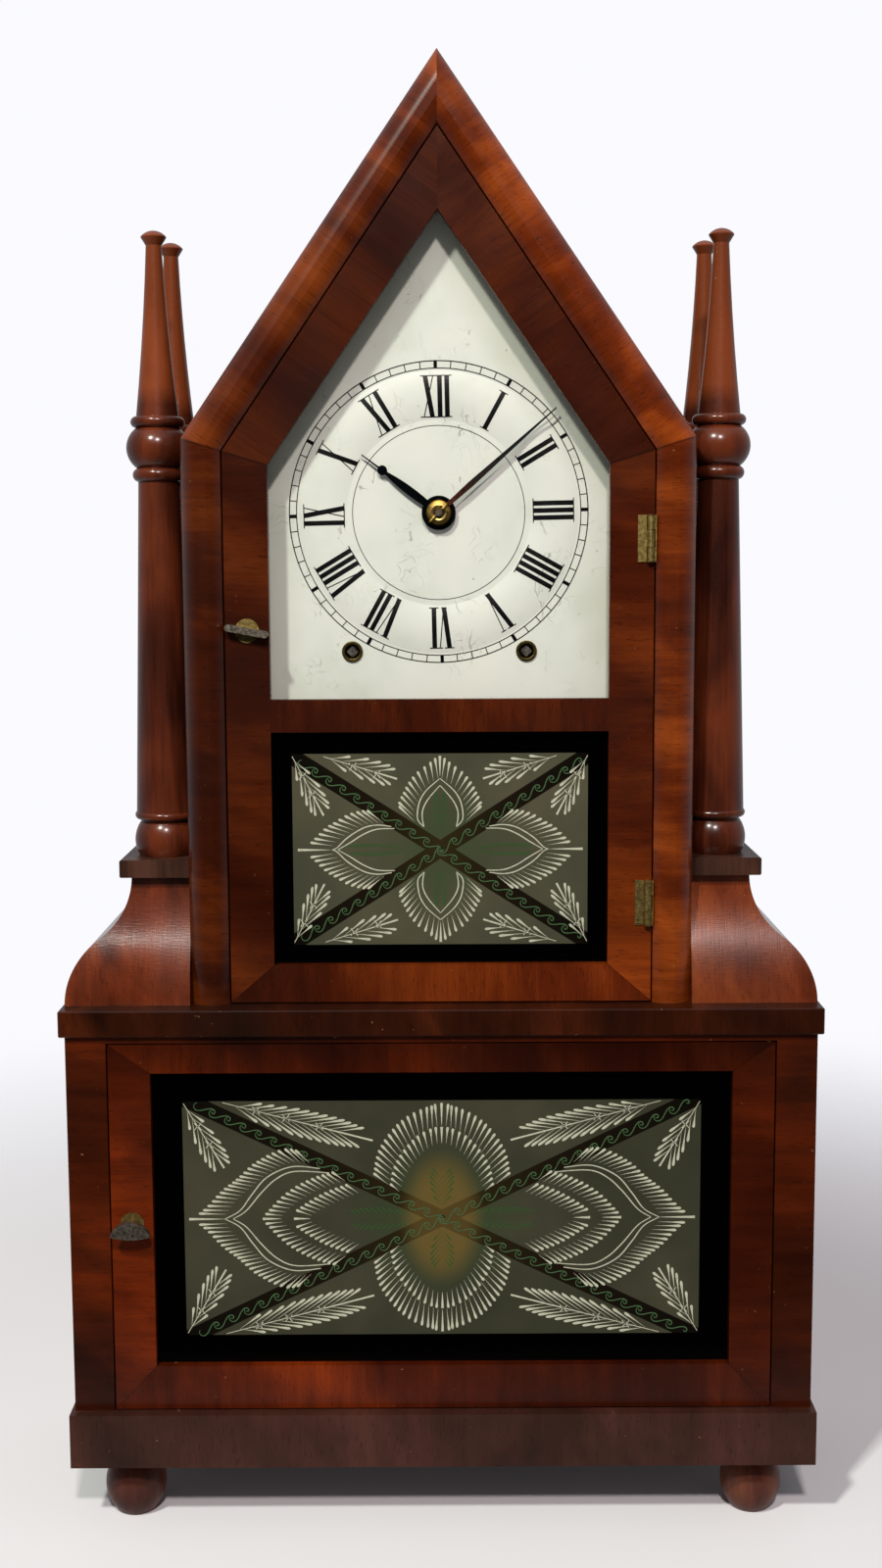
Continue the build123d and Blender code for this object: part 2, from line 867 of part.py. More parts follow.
def lower_member(i):
    after = (i + 1) % len(lower_outer)
    with BuildPart() as member:
        with BuildSketch(facing(lower_back_y)):
            with BuildLine():
                Polyline(
                    lower_outer[i], lower_outer[after], lower_inner[after], lower_inner[i], close=True
                )
            make_face()
        extrude(amount=stile_thickness)
        with BuildSketch(facing(lower_back_y)):
            with Locations((0, (lower_opening_low_z + lower_opening_high_z) / 2)):
                Rectangle(
                    2 * (lower_opening_half + rebate_width),
                    lower_opening_high_z - lower_opening_low_z + 2 * rebate_width,
                )
        extrude(amount=stile_thickness - glass_lip, mode=Mode.SUBTRACT)
        if i == 0:
            with BuildSketch(facing(lower_back_y + overrun)):
                with Locations((lower_latch_x, lower_latch_z)):
                    Circle(latch_shaft_radius + latch_play)
            extrude(amount=stile_thickness + 2 * overrun, mode=Mode.SUBTRACT)
    return member.part


save("lower_door_frame", *[lower_member(i) for i in range(len(lower_outer))])
lower_tablet_half = lower_opening_half + rebate_width - glass_play
save(
    "lower_tablet",
    board(
        -lower_tablet_half,
        lower_tablet_half,
        lower_front_y + glass_lip,
        lower_front_y + glass_lip + glass_thickness,
        lower_opening_low_z - rebate_width + glass_play,
        lower_opening_high_z + rebate_width - glass_play,
    ),
)


def pivot_pin(low_z, height):
    with BuildPart() as pin:
        with BuildSketch(Plane.XY.offset(low_z)):
            with Locations((pivot_x, pivot_y)):
                Circle(pivot_radius)
        extrude(amount=height)
    return pin.part


save(
    "lower_door_pivots",
    pivot_pin(base_top_z, door_gap),
    pivot_pin(lower_door_high_z, door_gap + pivot_length),
)
save("lower_latch_plate", latch_plate(lower_latch_x, lower_latch_z, lower_front_y))
wing_turn_width = 18.4
wing_turn_height = 6.6
wing_turn_depth = 2.6
wing_turn_drop = 3.2
wing_turn_back_y = lower_front_y - latch_reach + wing_turn_depth
with BuildPart() as lower_latch_turn:
    add(latch_tongue(lower_latch_x, lower_latch_z, lower_back_y))
    with BuildSketch(facing(lower_back_y + tongue_gap)):
        with Locations((lower_latch_x, lower_latch_z)):
            Circle(latch_shaft_radius)
    extrude(amount=lower_back_y + tongue_gap - wing_turn_back_y)
    with BuildSketch(facing(wing_turn_back_y)):
        with BuildLine():
            left_tip = (lower_latch_x - wing_turn_width / 2, lower_latch_z - wing_turn_drop)
            right_tip = (lower_latch_x + wing_turn_width / 2, lower_latch_z - wing_turn_drop)
            ThreePointArc(
                left_tip,
                (lower_latch_x, lower_latch_z + wing_turn_height - wing_turn_drop),
                right_tip,
            )
            ThreePointArc(
                right_tip,
                (lower_latch_x, lower_latch_z - wing_turn_drop - latch_shaft_radius),
                left_tip,
            )
        make_face()
    extrude(amount=wing_turn_depth)
save("lower_latch_turn", lower_latch_turn.part)

# Dial: a thin plate with a raised chapter ring, a centre hole and two winding holes
dial_setback = 18.0
dial_thickness = 0.8
dial_y = moulding_front_y + dial_setback
ring_inner_radius = 41.1
ring_outer_radius = 62.6
ring_rise = 1.2
dial_half_width = 92.0
dial_drop = 92.5
dial_roof_gap = 8.0
dial_low_z = hub_z - dial_drop
dial_apex_z = roof_inner_apex_z - dial_roof_gap / gable_cos
dial_centre_hole = 4.4
winding_hole_radius = 4.1
grommet_inner_radius = 3.3
grommet_lip_radius = 4.7
grommet_lip_thickness = 0.9
grommet_rounding = 0.3
winding_centres = [(side * winding_x, winding_z) for side in sides]
hub = (0, hub_z)
with BuildPart() as dial_plate:
    with BuildSketch(facing(dial_y + dial_thickness)):
        with BuildLine():
            Polyline(
                *pentagon(dial_half_width, dial_low_z, gable_at(dial_half_width, dial_apex_z), dial_apex_z),
                close=True,
            )
        make_face()
        with Locations(hub):
            Circle(dial_centre_hole, mode=Mode.SUBTRACT)
        with Locations(*winding_centres):
            Circle(winding_hole_radius, mode=Mode.SUBTRACT)
    extrude(amount=dial_thickness)
    with BuildSketch(Plane.YZ.offset(0)):
        with BuildLine():
            ring_low_z = hub_z + ring_inner_radius
            ring_high_z = hub_z + ring_outer_radius
            ThreePointArc(
                (dial_y, ring_low_z),
                (dial_y - ring_rise, (ring_low_z + ring_high_z) / 2),
                (dial_y, ring_high_z),
            )
            Line((dial_y, ring_high_z), (dial_y, ring_low_z))
        make_face()
    revolve(axis=Axis((0, 0, hub_z), (0, 1, 0)))
save("dial_plate", dial_plate.part)


def grommet(centre):
    with BuildPart() as ring:
        with BuildSketch(facing(dial_y + dial_thickness)):
            with Locations(centre):
                Circle(winding_hole_radius)
                Circle(grommet_inner_radius, mode=Mode.SUBTRACT)
        extrude(amount=dial_thickness)
        with BuildSketch(facing(dial_y)):
            with Locations(centre):
                Circle(grommet_lip_radius)
                Circle(grommet_inner_radius, mode=Mode.SUBTRACT)
        extrude(amount=grommet_lip_thickness)
        fillet(ring.edges().group_by(Axis.Y)[0], grommet_rounding)
    return ring.part


save("winding_grommets", *[grommet(centre) for centre in winding_centres])

# Movement plates and the posts and pillars that hold them
plate_half_width = 76.0
plate_drop = 95.5
plate_rise = 64.5
plate_window_width = 20.0
plate_window_height = 40.0
plate_thickness = 1.5
front_plate_setback = 26.0
plate_spacing = 38.5
arbor_play = 0.06
arbor_radius = 1.2
plate_low_z = hub_z - plate_drop
plate_high_z = hub_z + plate_rise
front_plate_y = moulding_front_y + front_plate_setback
back_plate_y = front_plate_y + plate_thickness + plate_spacing
plates_back_y = back_plate_y + plate_thickness


def gear_distance(module, teeth_a, teeth_b):
    return module * (teeth_a + teeth_b) / 2


def third_corner(start, end, from_start, from_end, turn):
    """Where an arbor lies that keeps a set distance from each of two others."""
    dx = end[0] - start[0]
    dz = end[1] - start[1]
    span = hypot(dx, dz)
    along = (from_start**2 - from_end**2 + span**2) / (2 * span)
    across = turn * sqrt(from_start**2 - along**2)
    return (
        start[0] + (dx * along - dz * across) / span,
        start[1] + (dz * along + dx * across) / span,
    )


great_teeth = 72
leaf_count = 8
second_teeth = 60
centre_teeth = 64
third_teeth = 60
escape_leaves = 6
escape_teeth = 50
pin_wheel_teeth = 48
fly_leaves = 6
great_module = 1.0
second_module = 1.0
centre_module = 0.8
third_module = 0.7
pin_module = 0.8
escape_radius = 15.6
cannon_teeth = 12
minute_teeth = 36
minute_leaves = 12
hour_teeth = 48
cannon_module = 0.8
third_x = -20.4
verge_rise = 21.3
fly_drop = 12.9

great_arbor = (winding_x, winding_z)
strike_arbor = (-winding_x, winding_z)
second_arbor = third_corner(
    great_arbor,
    hub,
    gear_distance(great_module, great_teeth, leaf_count),
    gear_distance(second_module, second_teeth, leaf_count),
    -1,
)
third_reach = gear_distance(centre_module, centre_teeth, leaf_count)
third_arbor = (third_x, hub_z + sqrt(third_reach**2 - third_x**2))
escape_reach = gear_distance(third_module, third_teeth, escape_leaves)
escape_arbor = (0, third_arbor[1] + sqrt(escape_reach**2 - third_x**2))
verge_arbor = (0, escape_arbor[1] + verge_rise)
pin_arbor = (-second_arbor[0], second_arbor[1])
fly_reach = gear_distance(pin_module, pin_wheel_teeth, fly_leaves)
fly_arbor = (pin_arbor[0] - sqrt(fly_reach**2 - fly_drop**2), pin_arbor[1] + fly_drop)
hammer_x = -50.0
hammer_drop = 22.5
hammer_arbor = (hammer_x, hub_z - hammer_drop)
cannon_reach = gear_distance(cannon_module, cannon_teeth, minute_teeth)
motion_module = 2 * cannon_reach / (minute_leaves + hour_teeth)
minute_post_x = 11.5
minute_post = (minute_post_x, hub_z - sqrt(cannon_reach**2 - minute_post_x**2))

winding_arbor_radius = 2.6
centre_arbor_radius = 1.6
train_arbors = [second_arbor, third_arbor, escape_arbor, verge_arbor, pin_arbor, fly_arbor, hammer_arbor]
pillar_inset = 6.0
pillar_radius = 3.0
pillar_places = [
    (x, z)
    for x in (-plate_half_width + pillar_inset, plate_half_width - pillar_inset)
    for z in (plate_low_z + pillar_inset, plate_high_z - pillar_inset)
]
stud_radius = 1.2
stud_length = 6.4


def plate_blank(y):
    """A movement plate bored for every arbor, with its lower middle cut away."""
    with BuildPart() as plate:
        with BuildSketch(facing(y + plate_thickness)):
            with Locations((0, (plate_low_z + plate_high_z) / 2)):
                Rectangle(2 * plate_half_width, plate_high_z - plate_low_z)
            with Locations((0, plate_low_z + plate_window_height / 2)):
                Rectangle(plate_window_width, plate_window_height, mode=Mode.SUBTRACT)
            with Locations(*train_arbors):
                Circle(arbor_radius + arbor_play, mode=Mode.SUBTRACT)
            with Locations(great_arbor, strike_arbor):
                Circle(winding_arbor_radius + arbor_play, mode=Mode.SUBTRACT)
            with Locations(hub):
                Circle(centre_arbor_radius + arbor_play, mode=Mode.SUBTRACT)
        extrude(amount=plate_thickness)
    return plate.part


with BuildPart() as front_plate:
    add(plate_blank(front_plate_y))
    with BuildSketch(facing(front_plate_y)):
        with Locations(minute_post):
            Circle(stud_radius)
    extrude(amount=stud_length)
save("front_plate", front_plate.part)

pillar_front_y = front_plate_y + plate_thickness
pillars = [disc(place, pillar_radius, pillar_front_y, back_plate_y) for place in pillar_places]
cock_width = 8.0
cock_height = 12.0
cock_reach = 9.0
suspension_rise = 8.0
suspension_z = verge_arbor[1] + suspension_rise
suspension_pin_radius = 0.8
cock_slot = 1.2
with BuildPart() as suspension_cock:
    with BuildSketch(Plane.XY.offset(suspension_z - suspension_pin_radius - arbor_play - plate_thickness)):
        with Locations((0, plates_back_y + cock_reach / 2)):
            Rectangle(cock_width, cock_reach)
        with Locations((0, plates_back_y + cock_reach)):
            Rectangle(cock_slot, cock_reach, mode=Mode.SUBTRACT)
    extrude(amount=plate_thickness)
    with BuildSketch(facing(plates_back_y + plate_thickness)):
        with Locations((0, suspension_z - cock_height / 2)):
            Rectangle(cock_width, cock_height)
        with Locations(verge_arbor):
            Circle(2 * arbor_radius, mode=Mode.SUBTRACT)
    extrude(amount=plate_thickness)
save("back_plate", plate_blank(back_plate_y), *pillars, suspension_cock.part)

# Wooden posts behind the movement and battens behind the dial
post_inner_x = 56.0
post_outer_x = 66.0
batten_width = 13.5
batten_depth = 7.0
batten_rise = 16.5
rails = []
for side in sides:
    rails.append(
        board(
            min(side * post_inner_x, side * post_outer_x),
            max(side * post_inner_x, side * post_outer_x),
            plates_back_y,
            back_board_y,
            plate_low_z,
            plate_high_z - pillar_inset,
        )
    )
    rails.append(
        board(
            min(side * side_inner_x, side * (side_inner_x - batten_width)),
            max(side * side_inner_x, side * (side_inner_x - batten_width)),
            dial_y + dial_thickness,
            dial_y + dial_thickness + batten_depth,
            dial_low_z,
            hub_z + batten_rise,
        )
    )
save("movement_rails", *rails)

# Toothed wheels: straight-sided teeth, thin enough to run free at every phase
tip_share = 0.16
root_share = 0.46
addendum_share = 0.85
dedendum_share = 1.15
window_place_share = 0.58
window_radius_share = 0.24


def gear_outline(centre, teeth, module, phase):
    """Points round a wheel whose first tooth stands at the phase angle, in degrees."""
    pitch = 2 * pi / teeth
    radius = module * teeth / 2
    tip = radius + module * addendum_share
    root = radius - module * dedendum_share
    points = []
    for i in range(teeth):
        middle = radians(phase) + i * pitch
        for reach, share in ((root, -root_share), (tip, -tip_share), (tip, tip_share), (root, root_share)):
            angle = middle + share * pitch / 2
            points.append((centre[0] + reach * cos(angle), centre[1] + reach * sin(angle)))
    return points


def wheel(centre, teeth, module, phase, front, thickness, bore=0.0, windows=0):
    """A wheel at a depth behind the moulding front, with round lightening holes."""
    y_back = moulding_front_y + front + thickness
    radius = module * teeth / 2
    with BuildPart() as blank:
        with BuildSketch(facing(y_back)):
            with BuildLine():
                Polyline(*gear_outline(centre, teeth, module, phase), close=True)
            make_face()
            if bore:
                with Locations(centre):
                    Circle(bore, mode=Mode.SUBTRACT)
            if windows:
                with Locations(centre):
                    with PolarLocations(radius * window_place_share, windows):
                        Circle(radius * window_radius_share, mode=Mode.SUBTRACT)
        extrude(amount=thickness)
    return blank.part


def direction(start, end):
    return degrees(atan2(end[1] - start[1], end[0] - start[0]))


def mesh_phases(driver, driven, driven_teeth):
    """Phases that put a tooth of the driver between two teeth of the driven wheel."""
    toward = direction(driver, driven)
    return toward, toward + 180 + 180 / driven_teeth


def rod(centre, radius, front, back):
    """An arbor between two depths behind the moulding front."""
    return disc(centre, radius, moulding_front_y + front, moulding_front_y + back)


great_front = 32.0
great_thickness = 2.0
second_front = 36.4
train_thickness = 1.4
centre_wheel_front = 44.0
third_front = 52.0
escape_front = 59.0
leaf_length = 5.0
arbor_front = front_plate_setback
arbor_back = front_plate_setback + 2 * plate_thickness + plate_spacing
square_half = 1.85
square_front = 18.6
ratchet_radius = 8.5
ratchet_teeth = 12
ratchet_root_share = 0.8
ratchet_tooth_turn = 0.02
ratchet_front = 29.0
ratchet_thickness = 2.2
click_length = 12.0
click_width = 2.4
hand_arbor_front = 11.6
cannon_radius = 2.4
cannon_front = 22.4
cannon_length = 3.0
hour_pipe_radius = 3.4
hour_wheel_front = 20.3
hour_wheel_thickness = 1.0
minute_wheel_front = 23.2

great_phase, second_leaf_phase = mesh_phases(great_arbor, second_arbor, leaf_count)
second_phase, centre_leaf_phase = mesh_phases(second_arbor, hub, leaf_count)
centre_phase, third_leaf_phase = mesh_phases(hub, third_arbor, leaf_count)
third_phase, escape_leaf_phase = mesh_phases(third_arbor, escape_arbor, escape_leaves)
strike_phase, pin_leaf_phase = mesh_phases(strike_arbor, pin_arbor, leaf_count)
pin_phase, fly_leaf_phase = mesh_phases(pin_arbor, fly_arbor, fly_leaves)
minute_phase, cannon_phase = mesh_phases(minute_post, hub, cannon_teeth)
hour_phase, minute_leaf_phase = mesh_phases(hub, minute_post, minute_leaves)


def ratchet_outline(centre):
    points = []
    for i in range(ratchet_teeth):
        angle = 2 * pi * i / ratchet_teeth
        for reach, turn in ((ratchet_radius, 0), (ratchet_radius * ratchet_root_share, ratchet_tooth_turn)):
            points.append((centre[0] + reach * cos(angle + turn), centre[1] + reach * sin(angle + turn)))
    return points


def make_great_wheel(centre, phase):
    """Great wheel, free on its arbor, with the click that holds the ratchet."""
    clear = ratchet_radius + knuckle_gap
    with BuildPart() as great:
        add(
            wheel(
                centre,
                great_teeth,
                great_module,
                phase,
                great_front,
                great_thickness,
                winding_arbor_radius + arbor_play,
                5,
            )
        )
        with BuildSketch(facing(moulding_front_y + great_front)):
            with Locations((centre[0] + clear + click_width / 2, centre[1] + click_length / 2)):
                SlotOverall(click_length, click_width, rotation=90)
        extrude(amount=great_front - ratchet_front)
    return great.part


def make_winding_arbor(centre):
    """Arbor with a squared front end, a ratchet in front of the great wheel and a drum behind."""
    with BuildPart() as arbor:
        add(rod(centre, winding_arbor_radius, arbor_front, arbor_back))
        with BuildSketch(facing(moulding_front_y + arbor_front)):
            with Locations(centre):
                Rectangle(2 * square_half, 2 * square_half, rotation=45)
        extrude(amount=arbor_front - square_front)
        with BuildSketch(facing(moulding_front_y + ratchet_front + ratchet_thickness)):
            with BuildLine():
                Polyline(*ratchet_outline(centre), close=True)
            make_face()
        extrude(amount=ratchet_thickness)
        add(rod(centre, drum_radius, drum_front, drum_front + drum_length))
    return arbor.part


def pinion(centre, module, leaves, phase, front, length):
    return wheel(centre, leaves, module, phase, front, length)


def make_arbor(centre, radius, *wheels):
    """A train arbor with its wheel and pinion made fast on it."""
    with BuildPart() as arbor:
        add(rod(centre, radius, arbor_front, arbor_back))
        for piece in wheels:
            add(piece)
    return arbor.part


save("time_great_wheel", make_great_wheel(great_arbor, great_phase))
save("time_winding_arbor", make_winding_arbor(great_arbor))
save("strike_great_wheel", make_great_wheel(strike_arbor, strike_phase))
save("strike_winding_arbor", make_winding_arbor(strike_arbor))
leaf_lead = 1.6
save(
    "second_wheel",
    make_arbor(
        second_arbor,
        arbor_radius,
        wheel(second_arbor, second_teeth, second_module, second_phase, second_front, train_thickness, 0, 4),
        pinion(
            second_arbor, great_module, leaf_count, second_leaf_phase, great_front - leaf_lead, leaf_length
        ),
    ),
)
save(
    "third_wheel",
    make_arbor(
        third_arbor,
        arbor_radius,
        wheel(third_arbor, third_teeth, third_module, third_phase, third_front, train_thickness, 0, 4),
        pinion(
            third_arbor,
            centre_module,
            leaf_count,
            third_leaf_phase,
            centre_wheel_front - leaf_lead,
            leaf_length,
        ),
    ),
)
escape_module = 2 * escape_radius / escape_teeth
escape_phase = 90
save(
    "escape_wheel",
    make_arbor(
        escape_arbor,
        arbor_radius,
        wheel(
            escape_arbor,
            escape_teeth,
            escape_module,
            escape_phase,
            escape_front,
            train_thickness,
            0,
            4,
        ),
        pinion(
            escape_arbor,
            third_module,
            escape_leaves,
            escape_leaf_phase,
            third_front - leaf_lead,
            leaf_length,
        ),
    ),
)
with BuildPart() as minute_wheel:
    add(
        wheel(
            minute_post,
            minute_teeth,
            cannon_module,
            minute_phase,
            minute_wheel_front,
            train_thickness,
            stud_radius + arbor_play,
            4,
        )
    )
    add(
        wheel(
            minute_post,
            minute_leaves,
            motion_module,
            minute_leaf_phase,
            hour_wheel_front - hour_wheel_thickness / 2,
            minute_wheel_front - hour_wheel_front + hour_wheel_thickness / 2,
            stud_radius + arbor_play,
        )
    )
save("minute_wheel", minute_wheel.part)

# Hands, with the washer and taper pin that hold them on the centre arbor
hour_hand_front = 15.4
minute_hand_front = 13.9
hand_thickness = 0.6
hour_clock_angle = 306.9
minute_clock_angle = 48.8
hour_hand_length = 42.8
hour_lens_half = 1.9
hour_lens_place = 15.0
hour_neck_half = 0.55
hour_bulb_place = 31.3
hour_bulb_radius = 2.2
hand_tip_half = 0.25
hour_disc_radius = 7.6
minute_hand_length = 69.5
minute_lens_half = 1.35
minute_root_share = 0.7
minute_lens_place = 19.0
minute_disc_radius = 4.6
washer_radius = 5.6
washer_thickness = 0.9
washer_dish = 0.5
washer_crown_share = 0.6
taper_pin_radius = 0.55
taper_pin_length = 12.0
taper_pin_clock_angle = 225.0


def hand_plane(clock_angle, front):
    """A plane whose X runs out along a hand that points at a clock angle."""
    turn = radians(clock_angle)
    return Plane(
        origin=(0, moulding_front_y + front, hub_z),
        x_dir=(sin(turn), 0, cos(turn)),
        z_dir=(0, -1, 0),
    )


with BuildPart() as hour_hand:
    with BuildSketch(hand_plane(hour_clock_angle, hour_hand_front + hand_thickness)):
        with BuildLine():
            neck_place = hour_bulb_place - hour_bulb_radius / 2
            ThreePointArc(
                (0, hour_neck_half), (hour_lens_place, hour_lens_half), (neck_place, hour_neck_half)
            )
            Line((neck_place, hour_neck_half), (hour_hand_length, hand_tip_half))
            Line((hour_hand_length, hand_tip_half), (hour_hand_length, -hand_tip_half))
            Line((hour_hand_length, -hand_tip_half), (neck_place, -hour_neck_half))
            ThreePointArc(
                (neck_place, -hour_neck_half), (hour_lens_place, -hour_lens_half), (0, -hour_neck_half)
            )
            Line((0, -hour_neck_half), (0, hour_neck_half))
        make_face()
        with Locations((hour_bulb_place, 0)):
            Circle(hour_bulb_radius)
        Circle(hour_disc_radius)
        Circle(hour_pipe_radius, mode=Mode.SUBTRACT)
    extrude(amount=hand_thickness)
save("hour_hand", hour_hand.part)

with BuildPart() as minute_hand:
    with BuildSketch(hand_plane(minute_clock_angle, minute_hand_front + hand_thickness)):
        with BuildLine():
            for edge in (1, -1):
                Polyline(
                    (0, 0),
                    (0, edge * hour_neck_half),
                    (minute_disc_radius, edge * minute_lens_half * minute_root_share),
                    (minute_lens_place, edge * minute_lens_half),
                    (minute_hand_length, edge * hand_tip_half),
                    (minute_hand_length, 0),
                )
        make_face()
        Circle(minute_disc_radius)
        Circle(centre_arbor_radius, mode=Mode.SUBTRACT)
    extrude(amount=hand_thickness)
save("minute_hand", minute_hand.part)

washer_back_y = moulding_front_y + minute_hand_front
washer_crown_y = washer_back_y - washer_dish - washer_thickness / 2
with BuildPart() as washer:
    with BuildSketch(Plane.YZ.offset(0)):
        with BuildLine():
            Polyline(
                (washer_back_y, hub_z + centre_arbor_radius),
                (washer_back_y - washer_dish, hub_z + centre_arbor_radius),
                (washer_crown_y, hub_z + washer_radius * washer_crown_share),
                (washer_back_y - washer_thickness / 2, hub_z + washer_radius),
                (washer_back_y, hub_z + washer_radius),
                close=True,
            )
        make_face()
    revolve(axis=Axis((0, 0, hub_z), (0, 1, 0)))
pin_turn = radians(taper_pin_clock_angle)
pin_y = washer_crown_y - taper_pin_radius
with BuildPart() as centre_arbor:
    add(
        make_arbor(
            hub,
            centre_arbor_radius,
            wheel(hub, centre_teeth, centre_module, centre_phase, centre_wheel_front, train_thickness, 0, 4),
            pinion(hub, second_module, leaf_count, centre_leaf_phase, second_front - leaf_lead, leaf_length),
            pinion(hub, cannon_module, cannon_teeth, cannon_phase, cannon_front, cannon_length),
        )
    )
    add(rod(hub, cannon_radius, minute_hand_front + hand_thickness, cannon_front))
    add(rod(hub, centre_arbor_radius, hand_arbor_front, arbor_front))
    with BuildSketch(
        Plane(
            origin=(0, pin_y, hub_z),
            z_dir=(sin(pin_turn), 0, cos(pin_turn)),
        )
    ):
        Circle(taper_pin_radius)
    extrude(amount=taper_pin_length / 2, both=True)
save("centre_arbor", centre_arbor.part, washer.part)

with BuildPart() as hour_wheel:
    add(
        wheel(
            hub,
            hour_teeth,
            motion_module,
            hour_phase,
            hour_wheel_front,
            hour_wheel_thickness,
            cannon_radius + arbor_play,
            4,
        )
    )
    with BuildSketch(facing(moulding_front_y + hour_wheel_front)):
        with Locations(hub):
            Circle(hour_pipe_radius)
            Circle(cannon_radius + arbor_play, mode=Mode.SUBTRACT)
    extrude(amount=hour_wheel_front - hour_hand_front)
save("hour_wheel", hour_wheel.part)

# Verge: pallets over the escape wheel, and a crutch behind that steers the pendulum
pallet_x = 7.8
pallet_drop = 6.0
verge_thickness = 1.4
crutch_length = 32.0
crutch_setback = 71.5
crutch_radius = 0.7
fork_gap = 0.3
rod_radius = 0.8
pendulum_setback = 74.5
fork_front = 71.0
fork_back = 77.0
verge_outline_shares = (
    (-1.0, -1.0),
    (-1.2, -0.8),
    (-0.8, 0.3),
    (0.0, 0.5),
    (0.8, 0.3),
    (1.2, -0.8),
    (1.0, -1.0),
    (0.6, -0.4),
    (0.0, -0.3),
    (-0.6, -0.4),
)
with BuildPart() as verge:
    add(rod(verge_arbor, arbor_radius, arbor_front, crutch_setback + crutch_radius))
    with BuildSketch(facing(moulding_front_y + escape_front + verge_thickness)):
        with BuildLine():
            Polyline(
                *[
                    (verge_arbor[0] + pallet_x * x_share, verge_arbor[1] + pallet_drop * z_share)
                    for x_share, z_share in verge_outline_shares
                ],
                close=True,
            )
        make_face()
    extrude(amount=verge_thickness)
    with BuildSketch(Plane.XY.offset(verge_arbor[1])):
        with Locations((0, moulding_front_y + crutch_setback)):
            Circle(crutch_radius)
    extrude(amount=-crutch_length)
    fork_half = rod_radius + fork_gap
    with BuildSketch(Plane.XY.offset(verge_arbor[1] - crutch_length)):
        with Locations((0, moulding_front_y + (fork_front + fork_back) / 2)):
            Rectangle(2 * (fork_half + crutch_radius), fork_back - fork_front)
        with Locations((0, moulding_front_y + pendulum_setback + fork_gap)):
            Rectangle(2 * fork_half, fork_back - fork_front - crutch_radius, mode=Mode.SUBTRACT)
    extrude(amount=2 * crutch_radius)
save("verge", verge.part)

# Pendulum on a strip spring, with a lens bob and its rating nut
pendulum_y = moulding_front_y + pendulum_setback
strip_length = 12.0
strip_thickness = 0.3
strip_width = 3.6
bob_radius = 21.0
bob_half_thickness = 3.6
bob_rim_half = 0.4
bob_flat_radius = 3.0
bob_swell_share = 0.78
bob_drop = 163.5
bob_z = hub_z - bob_drop
nut_radius = 3.0
nut_height = 2.4
thread_length = 6.0
with BuildPart() as pendulum_rod:
    with BuildSketch(facing(pendulum_y + strip_width / 2)):
        with Locations((0, suspension_z)):
            Circle(suspension_pin_radius)
        with Locations((0, suspension_z - strip_length / 2)):
            Rectangle(strip_thickness, strip_length)
    extrude(amount=strip_width)
    rod_low_z = bob_z - bob_radius - nut_height - thread_length
    with BuildSketch(Plane.XY.offset(rod_low_z)):
        with Locations((0, pendulum_y)):
            Circle(rod_radius)
    extrude(amount=suspension_z - strip_length + rod_radius - rod_low_z)
    with BuildSketch(Plane.XY.offset(bob_z - bob_radius - nut_height)):
        with Locations((0, pendulum_y)):
            Circle(nut_radius)
    extrude(amount=nut_height)
save("pendulum_rod", pendulum_rod.part)
with BuildPart() as pendulum_bob:
    with BuildSketch(Plane.YZ):
        with BuildLine():
            for facing_way in sides:
                ThreePointArc(
                    (pendulum_y + facing_way * bob_rim_half, bob_z + bob_radius),
                    (pendulum_y + facing_way * bob_half_thickness * bob_swell_share, bob_z + bob_radius / 2),
                    (pendulum_y + facing_way * bob_half_thickness, bob_z + bob_flat_radius),
                )
            Polyline(
                (pendulum_y - bob_half_thickness, bob_z + bob_flat_radius),
                (pendulum_y - bob_half_thickness, bob_z),
                (pendulum_y + bob_half_thickness, bob_z),
                (pendulum_y + bob_half_thickness, bob_z + bob_flat_radius),
            )
            Line(
                (pendulum_y - bob_rim_half, bob_z + bob_radius),
                (pendulum_y + bob_rim_half, bob_z + bob_radius),
            )
        make_face()
    revolve(axis=Axis((0, pendulum_y, bob_z), (0, 1, 0)))
    with BuildSketch(Plane.XY.offset(bob_z - bob_radius - overrun)):
        with Locations((0, pendulum_y)):
            Circle(rod_radius + arbor_play)
    extrude(amount=2 * (bob_radius + overrun), mode=Mode.SUBTRACT)
save("pendulum_bob", pendulum_bob.part)

# Strike train: a wheel with lifting pins, a fly, and a hammer over a coiled wire gong
pin_wheel_front = 46.6
lifting_pins = 8
lifting_radius = 14.0
lifting_pin_radius = 0.6
lifting_pin_length = 3.0
fly_half_width = 10.5
fly_vane_thickness = 0.6
fly_front = 54.5
fly_length = 9.0
with BuildPart() as pin_wheel:
    add(
        make_arbor(
            pin_arbor,
            arbor_radius,
            wheel(pin_arbor, pin_wheel_teeth, pin_module, pin_phase, pin_wheel_front, train_thickness, 0, 4),
            pinion(
                pin_arbor, great_module, leaf_count, pin_leaf_phase, great_front - leaf_lead, leaf_length
            ),
        )
    )
    pins_back = pin_wheel_front + train_thickness + lifting_pin_length
    with BuildSketch(facing(moulding_front_y + pins_back)):
        with Locations(pin_arbor):
            with PolarLocations(lifting_radius, lifting_pins, start_angle=180 / lifting_pins):
                Circle(lifting_pin_radius)
    extrude(amount=lifting_pin_length)
save("pin_wheel", pin_wheel.part)
with BuildPart() as fly:
    add(
        make_arbor(
            fly_arbor,
            arbor_radius,
            pinion(
                fly_arbor, pin_module, fly_leaves, fly_leaf_phase, pin_wheel_front - leaf_lead, leaf_length
            ),
        )
    )
    with BuildSketch(facing(moulding_front_y + fly_front + fly_length)):
        with Locations(fly_arbor):
            Rectangle(2 * fly_half_width, fly_vane_thickness)
    extrude(amount=fly_length)
save("fly", fly.part)

